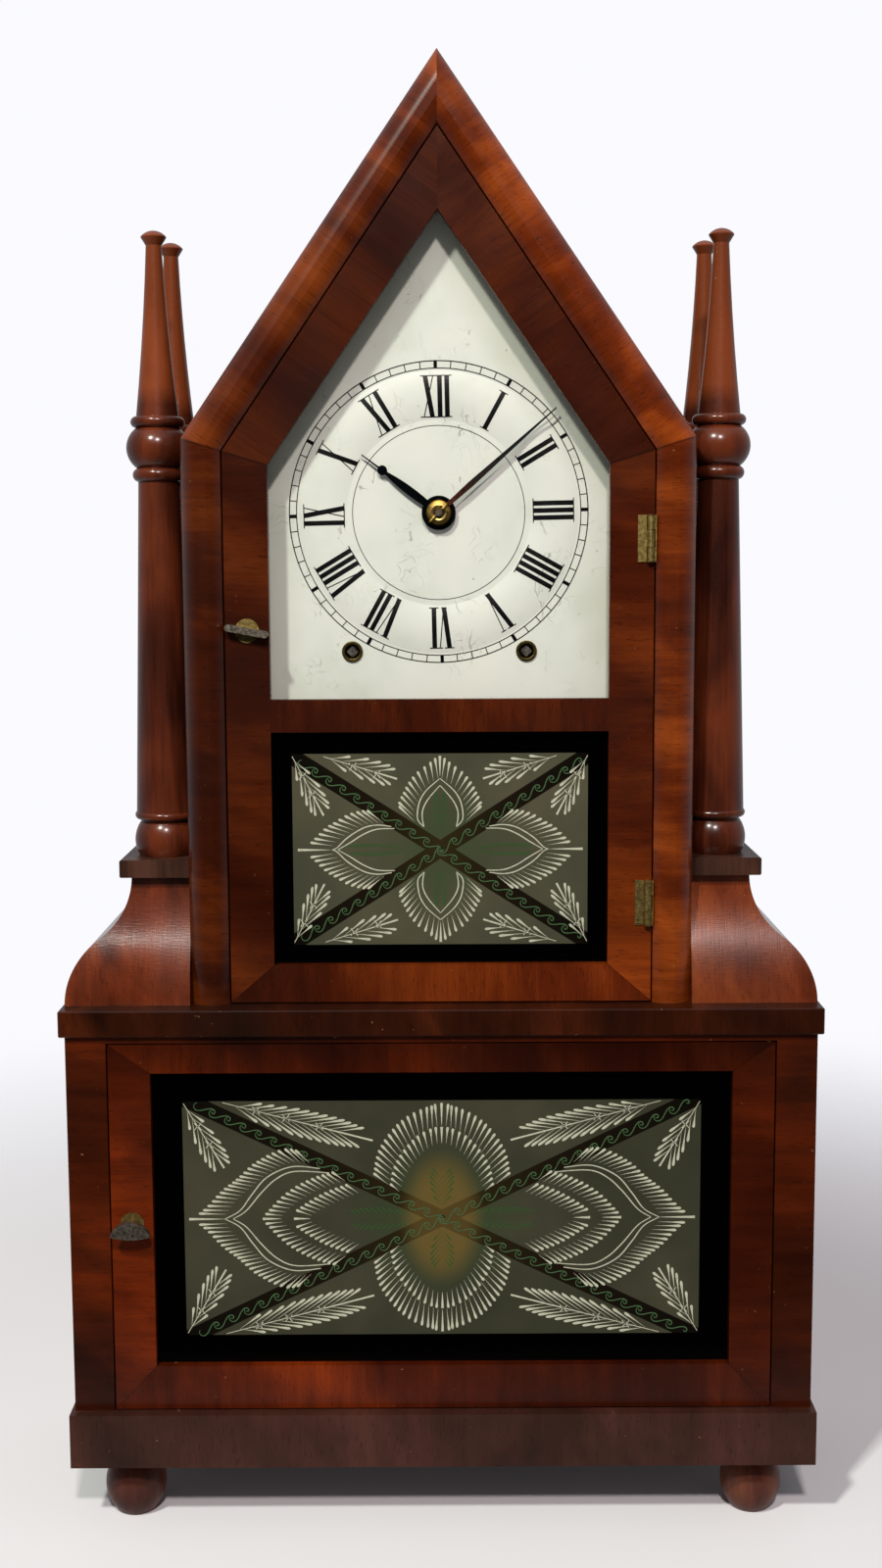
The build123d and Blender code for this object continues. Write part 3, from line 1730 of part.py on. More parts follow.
gong_x = -62.0
gong_rise = 46.5
gong_z = shelf_top_z + gong_rise
gong_setback = 92.0
gong_wire_radius = 1.1
gong_step = 4.0
gong_half_turns = 5
gong_post_radius = 6.0
gong_post_front = 89.5
gong_y = moulding_front_y + gong_setback
coil_reaches = [gong_post_radius - gong_wire_radius + i * gong_step for i in range(gong_half_turns + 1)]
coil_places = [reach if i % 2 == 0 else -reach for i, reach in enumerate(coil_reaches)]
with BuildPart() as gong_coil:
    with BuildLine(facing(gong_y)) as coil_line:
        for i in range(gong_half_turns):
            start = coil_places[i]
            end = coil_places[i + 1]
            middle = (start + end) / 2
            ThreePointArc(
                (gong_x + start, gong_z),
                (gong_x + middle, gong_z + abs(start - end) / 2 * (1 if i % 2 == 0 else -1)),
                (gong_x + end, gong_z),
            )
    with BuildSketch(Plane(origin=coil_line.line @ 0, z_dir=coil_line.line % 0)):
        Circle(gong_wire_radius)
    sweep(path=coil_line.line)
print("gong gap to itself", 2 * gong_step - 2 * gong_wire_radius)
gong_post = disc((gong_x, gong_z), gong_post_radius, moulding_front_y + gong_post_front, back_board_y)
with BuildPart() as gong:
    add(gong_coil.part)
    add(gong_post)
save("gong", gong.part)

hammer_head_radius = 4.5
hammer_head_length = 10.0
hammer_wire_radius = 1.0
hammer_boss_radius = 2.6
hammer_boss_half = 1.8
strike_gap = 1.0
tail_front = 48.6
tail_thickness = 1.6
tail_length = 11.6
tail_width = 3.0
gong_reach = max(coil_places)
head_x = gong_x + gong_reach + gong_wire_radius + strike_gap + hammer_head_length / 2
hammer_y = moulding_front_y + gong_setback
hammer_top = Vector(hammer_arbor[0], hammer_y, hammer_arbor[1])
hammer_foot = Vector(head_x, hammer_y, gong_z)
tail_turn = direction(hammer_arbor, pin_arbor)
with BuildPart() as hammer:
    add(rod(hammer_arbor, arbor_radius, arbor_front, gong_setback))
    boss_front = gong_setback - hammer_boss_half
    add(rod(hammer_arbor, hammer_boss_radius, boss_front, boss_front + 2 * hammer_boss_half))
    with BuildSketch(Plane(origin=hammer_top, z_dir=hammer_foot - hammer_top)):
        Circle(hammer_wire_radius)
    extrude(amount=(hammer_foot - hammer_top).length)
    with BuildSketch(Plane.YZ.offset(head_x - hammer_head_length / 2)):
        with Locations((hammer_y, gong_z)):
            Circle(hammer_head_radius)
    extrude(amount=hammer_head_length)
    with BuildSketch(
        Plane(
            origin=(hammer_arbor[0], moulding_front_y + tail_front + tail_thickness, hammer_arbor[1]),
            x_dir=(cos(radians(tail_turn)), 0, sin(radians(tail_turn))),
            z_dir=(0, -1, 0),
        )
    ):
        with Locations((tail_length / 2, 0)):
            SlotOverall(tail_length + tail_width, tail_width)
    extrude(amount=tail_thickness)
save("hammer", hammer.part)

# Leaf spring: stacked arched leaves clamped at mid length to the base
leaf_total = 6
leaf_thickness = 1.8
leaf_gap = 0.05
spring_width = 38.0
spring_setback = 55.0
spring_half_length = 98.0
shortest_half_length = 30.0
spring_rise = 32.0
saddle_height = 7.0
saddle_half_width = 22.0
clamp_half_width = 8.0
clamp_height = 5.0
clamp_clearance = 0.35
clamp_bolt_radius = 2.4
clamp_margin = 5.0
nut_across = 9.0
spring_y = moulding_front_y + spring_setback
saddle_top_z = base_top_z + saddle_height
arch_radius = (spring_half_length**2 + spring_rise**2) / (2 * spring_rise)
arch_centre_z = saddle_top_z + leaf_gap + arch_radius


def make_leaf(i):
    """Leaf i counted from the shortest, which lies on the saddle, to the longest on top."""
    outer = arch_radius - i * (leaf_thickness + leaf_gap)
    inner = outer - leaf_thickness
    half_length = shortest_half_length + (spring_half_length - shortest_half_length) * i / (leaf_total - 1)
    turn = degrees(half_length / outer)
    with BuildPart() as leaf:
        with BuildSketch(facing(spring_y + spring_width / 2)):
            with BuildLine():
                low = CenterArc((0, arch_centre_z), outer, 270 - turn, 2 * turn)
                high = CenterArc((0, arch_centre_z), inner, 270 - turn, 2 * turn)
                Line(low @ 0, high @ 0)
                Line(low @ 1, high @ 1)
            make_face()
        extrude(amount=spring_width)
    return leaf.part


save("leaf_spring", *[make_leaf(i) for i in range(leaf_total)])
stack_height = leaf_total * (leaf_thickness + leaf_gap)
clamp_low_z = saddle_top_z + stack_height + clamp_clearance
bolt_reach = spring_width / 2 + clamp_margin
saddle_depth = spring_width + 4 * clamp_margin
with BuildPart() as saddle:
    with BuildSketch(Plane.XY.offset(base_top_z)):
        with Locations((0, spring_y)):
            Rectangle(2 * saddle_half_width, saddle_depth)
    extrude(amount=saddle_height)
with BuildPart() as clamp:
    with BuildSketch(Plane.XY.offset(clamp_low_z)):
        with Locations((0, spring_y)):
            Rectangle(2 * clamp_half_width, saddle_depth)
        with Locations(*[(0, spring_y + side * bolt_reach) for side in sides]):
            Circle(clamp_bolt_radius, mode=Mode.SUBTRACT)
    extrude(amount=clamp_height)
saddle_bolts = []
for side in sides:
    with BuildPart() as bolt:
        with BuildSketch(Plane.XY.offset(saddle_top_z)):
            with Locations((0, spring_y + side * bolt_reach)):
                Circle(clamp_bolt_radius)
        extrude(amount=clamp_low_z + clamp_height - saddle_top_z)
        with BuildSketch(Plane.XY.offset(clamp_low_z + clamp_height)):
            with Locations((0, spring_y + side * bolt_reach)):
                RegularPolygon(nut_across / 2, 6)
        extrude(amount=clamp_height)
    saddle_bolts.append(bolt.part)
save("spring_saddle", saddle.part, clamp.part, *saddle_bolts)

# Step pulleys under the shelf gear the short spring travel up to the winding drums
big_pulley_radius = 26.0
small_pulley_radius = 9.0
flange_height = 3.0
flange_thickness = 1.2
groove_width = 2.4
strap_radius = 0.9
pulley_drop = 41.5
pulley_z = shelf_bottom_z - pulley_drop
pulley_pin_radius = 2.5
bracket_thickness = 2.5
bracket_half_width = 10.0
bracket_front = 41.0
bracket_back = 63.0
bracket_foot = 8.0
cord_reach = cord_radius + cord_gap
strap_reach = strap_radius + cord_gap
pulley_x = cord_x + big_pulley_radius + cord_reach
strap_x = pulley_x + small_pulley_radius + strap_reach
big_front = cord_y - groove_width / 2 - flange_thickness
small_back = spring_y + strap_radius + flange_thickness + cord_gap


def make_pulley(side):
    """A grooved disc and a small drum on one pin, which turns in the bracket."""
    axis = Axis((side * pulley_x, 0, pulley_z), (0, 1, 0))
    low_y = moulding_front_y + bracket_front
    high_y = moulding_front_y + bracket_back
    flange = big_pulley_radius + flange_height
    big_back = cord_y + groove_width / 2 + flange_thickness
    steps = [
        (low_y, 0),
        (low_y, pulley_pin_radius),
        (big_front, pulley_pin_radius),
        (big_front, flange),
        (big_front + flange_thickness, flange),
        (big_front + flange_thickness, big_pulley_radius),
        (big_back - flange_thickness, big_pulley_radius),
        (big_back - flange_thickness, flange),
        (big_back, flange),
        (big_back, small_pulley_radius),
        (small_back, small_pulley_radius),
        (small_back, small_pulley_radius + flange_height),
        (small_back + flange_thickness, small_pulley_radius + flange_height),
        (small_back + flange_thickness, pulley_pin_radius),
        (high_y, pulley_pin_radius),
        (high_y, 0),
    ]
    with BuildPart() as pulley:
        with BuildSketch(Plane.YZ.offset(side * pulley_x)):
            with BuildLine():
                Polyline(*[(y, pulley_z + reach) for y, reach in steps], close=True)
            make_face()
        revolve(axis=axis)
    return pulley.part


def make_bracket(side):
    low_y = moulding_front_y + bracket_front
    high_y = moulding_front_y + bracket_back
    with BuildPart() as bracket:
        with BuildSketch(Plane.XY.offset(shelf_bottom_z - bracket_thickness)):
            with Locations((side * pulley_x, (low_y + high_y) / 2)):
                Rectangle(2 * bracket_half_width, high_y - low_y)
        extrude(amount=bracket_thickness)
        for y in (low_y + bracket_thickness, high_y):
            with BuildSketch(facing(y)):
                with Locations((side * pulley_x, (shelf_bottom_z + pulley_z - bracket_foot) / 2)):
                    Rectangle(2 * bracket_half_width, shelf_bottom_z - pulley_z + bracket_foot)
                with Locations((side * pulley_x, pulley_z)):
                    Circle(pulley_pin_radius + arbor_play, mode=Mode.SUBTRACT)
            extrude(amount=bracket_thickness)
    return bracket.part


save("strike_pulley", make_pulley(-1))
save("time_pulley", make_pulley(1))
save("pulley_brackets", *[make_bracket(side) for side in sides])


def make_cord(x, z_low, z_high, y, radius, wrap_low, wrap_high):
    """A cord hung straight between a half turn round each end's drum, where there is one."""
    with BuildPart() as cord:
        with BuildLine(facing(y)) as line:
            Line((x, z_low), (x, z_high))
            if wrap_high:
                ThreePointArc(
                    (x, z_high),
                    (x + wrap_high, z_high + abs(wrap_high)),
                    (x + 2 * wrap_high, z_high),
                )
            if wrap_low:
                ThreePointArc(
                    (x, z_low),
                    (x + wrap_low, z_low - abs(wrap_low)),
                    (x + 2 * wrap_low, z_low),
                )
        path = line.wires()[0]
        with BuildSketch(Plane(origin=path @ 0, z_dir=path % 0)):
            Circle(radius)
        sweep(path=path)
    return cord.part


longest_inner = arch_radius - (leaf_total - 1) * (leaf_thickness + leaf_gap) - leaf_thickness
spring_end_z = arch_centre_z - sqrt(longest_inner**2 - strap_x**2) + strap_radius
cords = []
for side in sides:
    cords.append(
        make_cord(
            side * cord_x,
            pulley_z,
            winding_z,
            cord_y,
            cord_radius,
            side * (big_pulley_radius + cord_reach),
            -side * (drum_radius + cord_reach),
        )
    )
    cords.append(
        make_cord(
            side * strap_x,
            spring_end_z,
            pulley_z,
            spring_y,
            strap_radius,
            0,
            -side * (small_pulley_radius + strap_reach),
        )
    )
save("drive_cords", *cords)
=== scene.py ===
import math

import bpy
from mathutils import Euler, Matrix, Vector


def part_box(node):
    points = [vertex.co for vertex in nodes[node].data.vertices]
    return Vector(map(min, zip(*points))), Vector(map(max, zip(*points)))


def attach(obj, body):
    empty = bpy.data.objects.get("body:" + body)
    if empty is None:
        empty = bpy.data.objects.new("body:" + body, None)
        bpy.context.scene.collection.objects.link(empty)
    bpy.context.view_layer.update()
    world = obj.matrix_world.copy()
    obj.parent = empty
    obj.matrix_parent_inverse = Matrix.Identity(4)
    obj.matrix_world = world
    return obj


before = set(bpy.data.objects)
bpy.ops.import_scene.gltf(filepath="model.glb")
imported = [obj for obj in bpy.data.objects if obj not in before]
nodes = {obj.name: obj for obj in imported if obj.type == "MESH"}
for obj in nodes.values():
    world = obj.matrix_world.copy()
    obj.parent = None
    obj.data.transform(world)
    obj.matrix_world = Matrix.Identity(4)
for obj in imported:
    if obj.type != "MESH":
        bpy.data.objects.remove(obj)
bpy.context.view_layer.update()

MM = 0.001


# Small helpers

def colour(text):
    """An sRGB hex value as the linear colour that a socket takes."""
    parts = [int(text[i:i + 2], 16) / 255 for i in (1, 3, 5)]
    return tuple(c / 12.92 if c <= 0.04045 else ((c + 0.055) / 1.055) ** 2.4 for c in parts) + (1.0,)


def add(tree, kind, inputs=None, stops=(), **settings):
    """Adds one node, whose inputs go by number, name or identifier.

    Each takes a value, a hex colour, a socket to link, or a node whose first output in use is linked.
    """
    node = tree.nodes.new(kind)
    for key, value in settings.items():
        setattr(node, key, value)
    sockets = {socket.identifier: socket for socket in node.inputs}
    for key, value in (inputs or {}).items():
        socket = sockets[key] if key in sockets else node.inputs[key]
        if isinstance(value, bpy.types.Node):
            value = next(output for output in value.outputs if output.enabled)
        if isinstance(value, bpy.types.NodeSocket):
            tree.links.new(value, socket)
        else:
            socket.default_value = colour(value) if isinstance(value, str) else value
    for i, (place, tone) in enumerate(stops):
        ramp = node.color_ramp.elements
        stop = ramp[i] if i < 2 else ramp.new(place)
        stop.position = place
        stop.color = colour(tone)
    return node


def finish(name, build):
    """A new material: build(tree) gives the Principled inputs, and its surface takes them."""
    material = bpy.data.materials.new(name)
    material.use_nodes = True
    tree = material.node_tree
    tree.nodes.clear()
    surface = add(tree, "ShaderNodeBsdfPrincipled", build(tree))
    add(tree, "ShaderNodeOutputMaterial", {"Surface": surface})
    material.diffuse_color = (0.5, 0.5, 0.5, 1.0)
    return material


def place_in_mm(tree):
    """Object coordinates, counted in millimetres."""
    place = add(tree, "ShaderNodeTexCoord").outputs["Object"]
    return add(tree, "ShaderNodeVectorMath", {0: place, "Scale": 1 / MM}, operation="SCALE")


def reach(tree, place, along, start=0.0):
    """How far a place lies along a direction, from a start in millimetres."""
    far = add(tree, "ShaderNodeVectorMath", {0: place, 1: along}, operation="DOT_PRODUCT")
    return add(tree, "ShaderNodeMath", {0: far, 1: start}, operation="SUBTRACT")


def blotches(tree, place, size, detail=2.0, roughness=0.5, distortion=0.0):
    """A drifting pattern of a real size in millimetres: one size, or one along each axis."""
    sizes = size if isinstance(size, tuple) else (size, size, size)
    spread = add(tree, "ShaderNodeVectorMath", {0: place, 1: tuple(1 / s for s in sizes)},
                 operation="MULTIPLY")
    return add(tree, "ShaderNodeTexNoise", {"Vector": spread, "Scale": 1.0, "Detail": detail,
                                            "Roughness": roughness, "Distortion": distortion})


def tint(tree, ground, tone, pattern, begin, full, most, curve="LINEAR"):
    """Lays a tone over a ground: none of it where a pattern is at begin, its most at full."""
    share = add(tree, "ShaderNodeMapRange",
                {"Value": pattern, "From Min": begin, "From Max": full, "To Min": 0.0, "To Max": most},
                interpolation_type=curve)
    return add(tree, "ShaderNodeMix", {"Factor_Float": share, "A_Color": ground, "B_Color": tone},
               data_type="RGBA")


# Camera at the photograph's viewing angle, solved from the edges of shelf, door and base

FOCAL_PX, FRAME_HEIGHT_PX, SENSOR = 1890.0, 1600.0, 36.0
PITCH, ROLL = math.radians(6.9), math.radians(-0.27)
CAMERA_PLACE = Vector((0.45, -862.55, 442.7)) * MM
camera = bpy.data.objects.new("camera", bpy.data.cameras.new("camera"))
bpy.context.collection.objects.link(camera)
camera.data.sensor_fit = "VERTICAL"
camera.data.sensor_height = SENSOR
camera.data.lens = FOCAL_PX / FRAME_HEIGHT_PX * SENSOR
camera.location = CAMERA_PLACE
looking = Euler((math.pi / 2 - PITCH, 0, 0)).to_matrix() @ Matrix.Rotation(ROLL, 3, "Z")
camera.rotation_euler = looking.to_euler()
bpy.context.scene.camera = camera
bpy.context.scene.view_settings.view_transform = "Standard"


# Sizes that the finishes and painted work share with the solids, in millimetres

HUB_Z = 463.5
GROMMET_PROUD = 0.9
DIAL_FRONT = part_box("winding_grommets")[0][1] / MM + GROMMET_PROUD
GABLE_RISE, GABLE_HALF_WIDTH, GABLE_TOP = 164.0, 113.3, 660.0
DOOR_HALF_WIDTH, DOOR_TOP, DOOR_FOOT = 94.8, 627.45, 244.2
LOW_DOOR_HALF_WIDTH, LOW_DOOR_TOP, LOW_DOOR_FOOT = 149.9, 227.4, 56.2
GABLE_SLOPE = GABLE_RISE / GABLE_HALF_WIDTH
RAKE_COS = 1 / math.sqrt(1 + GABLE_SLOPE ** 2)
RAKE_OUT = (GABLE_SLOPE * RAKE_COS, 0, RAKE_COS)
RAKE_UP = (-RAKE_COS, 0, GABLE_SLOPE * RAKE_COS)
OUT, UP, DOWN, FRONT, BACK = (1, 0, 0), (0, 0, 1), (0, 0, -1), (0, -1, 0), (0, 1, 0)
X, Y, Z = range(3)


# Mahogany. Three sizes of a pattern run along a member, across it and into the wood, in millimetres.

SIDE_SHIFT = 37.0
FIGURE_STRETCH, FIGURE_DEPTH = 1 / 0.7, 1 / 0.5
COMBING_REACH, COMBING_DEPTH = 26.0, 20.0
BAND_SIZE = (6.0, 60.0, 40.0)
PORE_SIZE = (0.45, 5.0, 4.0)
FLECK_SIZE = (5.0, 5.0, 0.588)
GRIME_SIZE, KNOCK_SIZE = 62.5, 3.03
JOINT_WIDTH_SHARE = 0.022
FIGURE_SHARE, BAND_SHARE, COMBING_SHARE = 0.72, 0.18, 0.10
COMBING_RELIEF = 0.6
FACE_ONLY = ((OUT, 0.0, 1.0, UP),)


def grain(tree, members, middle=None, seed=0.0):
    """Places on cross-banded veneer, as (along the member, across it, depth), in millimetres.

    A member is (its outward side, where that edge lies, its width, the way it runs). A place
    belongs to the member whose outer edge is nearest for its width, so the bands meet on mitres.
    Uprights and rakes are folded over the middle, with another stretch of figure on either side.
    It also gives how near the place is to a mitre, as a share of the width, and the place itself.
    """
    place = place_in_mm(tree)
    flip = add(tree, "ShaderNodeVectorMath", {0: place}, operation="ABSOLUTE")
    split = add(tree, "ShaderNodeSeparateXYZ", {0: place})
    folded = add(tree, "ShaderNodeSeparateXYZ", {0: flip})
    at = add(tree, "ShaderNodeCombineXYZ", {X: folded.outputs[X], Y: split.outputs[Y], Z: split.outputs[Z]})
    side = add(tree, "ShaderNodeMath", {0: split.outputs[X]}, operation="SIGN")
    start = add(tree, "ShaderNodeMath", {0: side, 1: SIDE_SHIFT, 2: seed}, operation="MULTIPLY_ADD")
    nearest = run = None
    joint = 1.0
    for outward, edge, width, way in members:
        depth = add(tree, "ShaderNodeMath", {0: reach(tree, at, outward, edge), 1: -1 / width},
                    operation="MULTIPLY")
        if outward[X]:
            travel = add(tree, "ShaderNodeMath", {0: reach(tree, at, way), 1: start}, operation="ADD")
        else:
            travel = reach(tree, place, way, -seed)
        if nearest is None:
            nearest, run = depth, travel
            continue
        step = add(tree, "ShaderNodeMath", {0: depth, 1: nearest}, operation="SUBTRACT")
        gap = add(tree, "ShaderNodeMath", {0: step}, operation="ABSOLUTE")
        joint = add(tree, "ShaderNodeMath", {0: gap, 1: joint}, operation="MINIMUM")
        take = add(tree, "ShaderNodeMath", {0: depth, 1: nearest}, operation="LESS_THAN")
        run = add(tree, "ShaderNodeMix", {"Factor_Float": take, "A_Float": run, "B_Float": travel},
                  data_type="FLOAT")
        nearest = add(tree, "ShaderNodeMath", {0: depth, 1: nearest}, operation="MINIMUM")
    if middle:
        inside = add(tree, "ShaderNodeMath", {0: nearest, 1: 1.0}, operation="GREATER_THAN")
        run = add(tree, "ShaderNodeMix",
                  {"Factor_Float": inside, "A_Float": run, "B_Float": reach(tree, place, middle)},
                  data_type="FLOAT")
    across = add(tree, "ShaderNodeMath", {0: split.outputs[Z], 1: split.outputs[X]}, operation="ADD")
    lay = add(tree, "ShaderNodeCombineXYZ", {0: run, 1: across, 2: split.outputs[Y]})
    return lay, joint, place


def polished_mahogany(name, tones, members=FACE_ONLY, middle=None, seed=0.0, rough=0.30, coat=0.45,
                      relief=0.05, mottle=30.0, streak=0.7, sheen=0.08, polish=0.22, ripple=0.0, painted_shade=()):
    """French polished mahogany: warm red-brown with a drifting figure and fine dark grain lines.

    The figure gives the light and dark patches that cross each member, about mottle long. The
    grain lines, streak apart and drawn coarser than real ones to show, give the fine combing
    across it, and the open pores its darkest hairs. The shellac coat gives the soft bright edge
    of each reflection, and ripple is its unevenness, which breaks a highlight into flecks. Soot
    dulls and darkens it in patches, and small knocks show pale wood. Painted shade darkens it
    along straight bands: painted_shade lists (axis, where that starts, where it is full, its share).
    """
    def build(tree):
        lay, joint, place = grain(tree, members, middle, seed)
        figure = blotches(tree, lay, (mottle, mottle * FIGURE_STRETCH, mottle * FIGURE_DEPTH),
                          detail=3.0, distortion=0.55)
        combing = blotches(tree, lay, (streak, COMBING_REACH, COMBING_DEPTH),
                           detail=4.0, roughness=0.6, distortion=0.15)
        bands = blotches(tree, lay, BAND_SIZE, distortion=0.3)
        mixed = 0.0
        for pattern, share in ((figure, FIGURE_SHARE), (bands, BAND_SHARE), (combing, COMBING_SHARE)):
            mixed = add(tree, "ShaderNodeMath", {0: pattern, 1: share, 2: mixed}, operation="MULTIPLY_ADD")
        wood = add(tree, "ShaderNodeValToRGB", {0: mixed},
                   stops=((0.31, tones[0]), (0.50, tones[1]), (0.70, tones[2])))
        pores = blotches(tree, lay, PORE_SIZE, detail=1.0)
        wood = tint(tree, wood, "#120602", pores, begin=0.60, full=0.74, most=0.55)
        if len(members) > 1:
            wood = tint(tree, wood, "#0f0502", joint, begin=JOINT_WIDTH_SHARE, full=0.0, most=0.75)
        grime = blotches(tree, place, GRIME_SIZE, detail=3.0, roughness=0.6)
        wood = tint(tree, wood, "#150803", grime, begin=0.52, full=0.72, most=0.55)
        knocks = blotches(tree, place, KNOCK_SIZE, roughness=0.7)
        wood = tint(tree, wood, "#a87850", knocks, begin=0.735, full=0.76, most=0.45)
        parts = add(tree, "ShaderNodeSeparateXYZ", {0: place})
        # Painted shade: each band darkens the wood toward a deep red-black along one axis
        for axis, begin, full, most in painted_shade:
            wood = tint(tree, wood, "#150401", parts.outputs[axis], begin, full, most)
        shine = add(tree, "ShaderNodeMapRange", {"Value": grime, "From Min": 0.35, "From Max": 0.65,
                                                 "To Min": rough - 0.06, "To Max": rough + 0.10})
        height = add(tree, "ShaderNodeMath", {0: combing, 1: COMBING_RELIEF, 2: figure},
                     operation="MULTIPLY_ADD")
        if ripple:
            flecks = blotches(tree, place, FLECK_SIZE)
            height = add(tree, "ShaderNodeMath", {0: flecks, 1: ripple, 2: height}, operation="MULTIPLY_ADD")
        bump = add(tree, "ShaderNodeBump", {"Height": height, "Strength": relief, "Distance": 0.4 * MM})
        return {"Base Color": wood, "Roughness": shine, "Specular IOR Level": sheen, "Coat Weight": coat,
                "Coat Roughness": polish, "Normal": bump}
    return finish(name, build)


# On turned wood and pine, the three sizes run across, to the back and up
FIBRE_SIZE = (1.6, 1.6, 45.0)
CLOUD_SIZE = (24.0, 24.0, 70.0)
PIT_SIZE = 2.0
FIBRE_SHARE, CLOUD_SHARE = 0.22, 0.78
STAIN_FADE = 8.0


def turned_mahogany(name, tones, rough=0.28, coat=0.5, seed=0.0, paler_above=None):
    """Turned and stained hardwood: straight upright grain under a darkened shellac shine.

    The steeples, turned apart from the columns below them, took the stain less and look paler.
    The fibres are drawn coarser than real ones, to show.
    """
    def build(tree):
        place = place_in_mm(tree)
        moved = add(tree, "ShaderNodeVectorMath", {0: place, 1: (seed, seed, seed)}, operation="ADD")
        fibre = blotches(tree, moved, FIBRE_SIZE, detail=4.0, roughness=0.6)
        cloud = blotches(tree, moved, CLOUD_SIZE, distortion=0.6)
        mixed = add(tree, "ShaderNodeMath", {0: fibre, 1: FIBRE_SHARE, 2: 0.0}, operation="MULTIPLY_ADD")
        mixed = add(tree, "ShaderNodeMath", {0: cloud, 1: CLOUD_SHARE, 2: mixed}, operation="MULTIPLY_ADD")
        wood = add(tree, "ShaderNodeValToRGB", {0: mixed},
                   stops=((0.36, tones[0]), (0.5, tones[1]), (0.64, tones[2])))
        if paler_above:
            height = add(tree, "ShaderNodeSeparateXYZ", {0: place}).outputs[Z]
            wood = tint(tree, wood, "#9a4a22", height, begin=paler_above, full=paler_above + STAIN_FADE,
                        most=0.38)
        pitting = blotches(tree, place, PIT_SIZE, detail=3.0, roughness=0.7)
        bump = add(tree, "ShaderNodeBump", {"Height": pitting, "Strength": 0.06, "Distance": 0.3 * MM})
        shine = add(tree, "ShaderNodeMapRange", {"Value": pitting, "From Min": 0.3, "From Max": 0.7,
                                                 "To Min": rough - 0.05, "To Max": rough + 0.12})
        return {"Base Color": wood, "Roughness": shine, "Specular IOR Level": 0.1, "Coat Weight": coat,
                "Coat Roughness": 0.2, "Normal": bump}
    return finish(name, build)


GROWTH_SIZE = (9.0, 9.0, 260.0)
FUZZ_SIZE = (0.714, 0.714, 16.0)
FUZZ_SHARE = 0.35


def sawn_pine(name):
    """Unfinished softwood board: pale brown, dry and dull, with darker upright growth lines.

    The fuzz of the saw is drawn coarser than a real one, to show.
    """
    def build(tree):
        place = place_in_mm(tree)
        growth = blotches(tree, place, GROWTH_SIZE, detail=5.0, distortion=0.5)
        fuzz = blotches(tree, place, FUZZ_SIZE, detail=3.0)
        mixed = add(tree, "ShaderNodeMath", {0: fuzz, 1: FUZZ_SHARE, 2: growth}, operation="MULTIPLY_ADD")
        wood = add(tree, "ShaderNodeValToRGB", {0: mixed},
                   stops=((0.4, "#6a4c2c"), (0.65, "#84623a"), (0.9, "#9a7546")))
        bump = add(tree, "ShaderNodeBump", {"Height": mixed, "Strength": 0.25, "Distance": 0.4 * MM})
        return {"Base Color": wood, "Roughness": 0.78, "Normal": bump}
    return finish(name, build)


MOULDING_WIDTH, FRAME_WIDTH, FRAME_FOOT_WIDTH = 17.8, 19.6, 17.0
LOW_STILE_WIDTH, LOW_HEAD_WIDTH, LOW_FOOT_WIDTH = 18.9, 13.2, 20.4
gable_members = ((OUT, GABLE_HALF_WIDTH, MOULDING_WIDTH, UP),
                 (RAKE_OUT, GABLE_TOP * RAKE_COS, MOULDING_WIDTH, RAKE_UP))
door_members = ((OUT, DOOR_HALF_WIDTH, FRAME_WIDTH, UP),
                (RAKE_OUT, DOOR_TOP * RAKE_COS, FRAME_WIDTH, RAKE_UP),
                (DOWN, -DOOR_FOOT, FRAME_FOOT_WIDTH, OUT))
low_door_members = ((OUT, LOW_DOOR_HALF_WIDTH, LOW_STILE_WIDTH, UP), (UP, LOW_DOOR_TOP, LOW_HEAD_WIDTH, OUT),
                    (DOWN, -LOW_DOOR_FOOT, LOW_FOOT_WIDTH, OUT))


def wrapped(front, side):
    """The members of a veneered box, of even width so that each face keeps its own."""
    return ((FRONT, front, 1.0, OUT), (OUT, side, 1.0, BACK))


# Gable moulding: the brightest and reddest veneer, glossy where the lamps strike it; painted shade darkens
# its left side and its uprights below the rakes
gable_veneer = polished_mahogany(
    "gable_mahogany", ("#290b02", "#652405", "#ac4f15"), gable_members, coat=0.6, polish=0.16, mottle=54.0,
    relief=0.1, sheen=0.12, seed=5.0, painted_shade=((Z, 498.0, 484.0, 0.3), (X, 50.0, -50.0, 0.58)))
# Upper door frame: long flames of figure, brightest in the foot rail; painted shade darkens the rest,
# most in the point and on the left
door_veneer = polished_mahogany(
    "door_mahogany", ("#2b0a03", "#5a1f06", "#984210"), door_members, OUT, rough=0.34, coat=0.22, mottle=88.0,
    painted_shade=((Z, 262.0, 276.0, 0.46), (Z, 440.0, 540.0, 0.42), (X, 60.0, -60.0, 0.42)))
# Lower door frame: the same flames, with a painted shadow of the shelf along its top
# and painted shade on its right
low_door_veneer = polished_mahogany(
    "lower_door_mahogany", ("#260802", "#501904", "#883108"), low_door_members, rough=0.34, coat=0.22,
    mottle=84.0, seed=9.0, painted_shade=((Z, 196.0, 226.0, 0.66), (X, -60.0, 60.0, 0.55)))
# Strips beside the lower door: dark and plain, so that the door stands out; painted shade darkens them
# toward the right and toward their foot
stile_veneer = polished_mahogany(
    "front_stile_mahogany", ("#1c0602", "#421604", "#6f2606"), rough=0.36, coat=0.2, mottle=75.0, seed=21.0,
    painted_shade=((X, -60.0, 60.0, 0.4), (Z, 120.0, 60.0, 0.4)))
# Ogee wings: thick shellac over the curve, which catches one broad flecked highlight
wing_veneer = polished_mahogany(
    "ogee_mahogany", ("#3a1306", "#67290f", "#8c421c"), wrapped(front=44.4, side=170.0), coat=1.0,
    polish=0.14, relief=0.3, ripple=0.55, mottle=36.0, streak=0.9, seed=14.0, sheen=0.34)
# Waist shelf: nearly black-brown, dulled by hands and dusting
shelf_veneer = polished_mahogany(
    "shelf_mahogany", ("#160602", "#2e1004", "#50200a"), wrapped(front=55.3, side=171.2), rough=0.38,
    coat=0.25, mottle=48.0, seed=3.0)
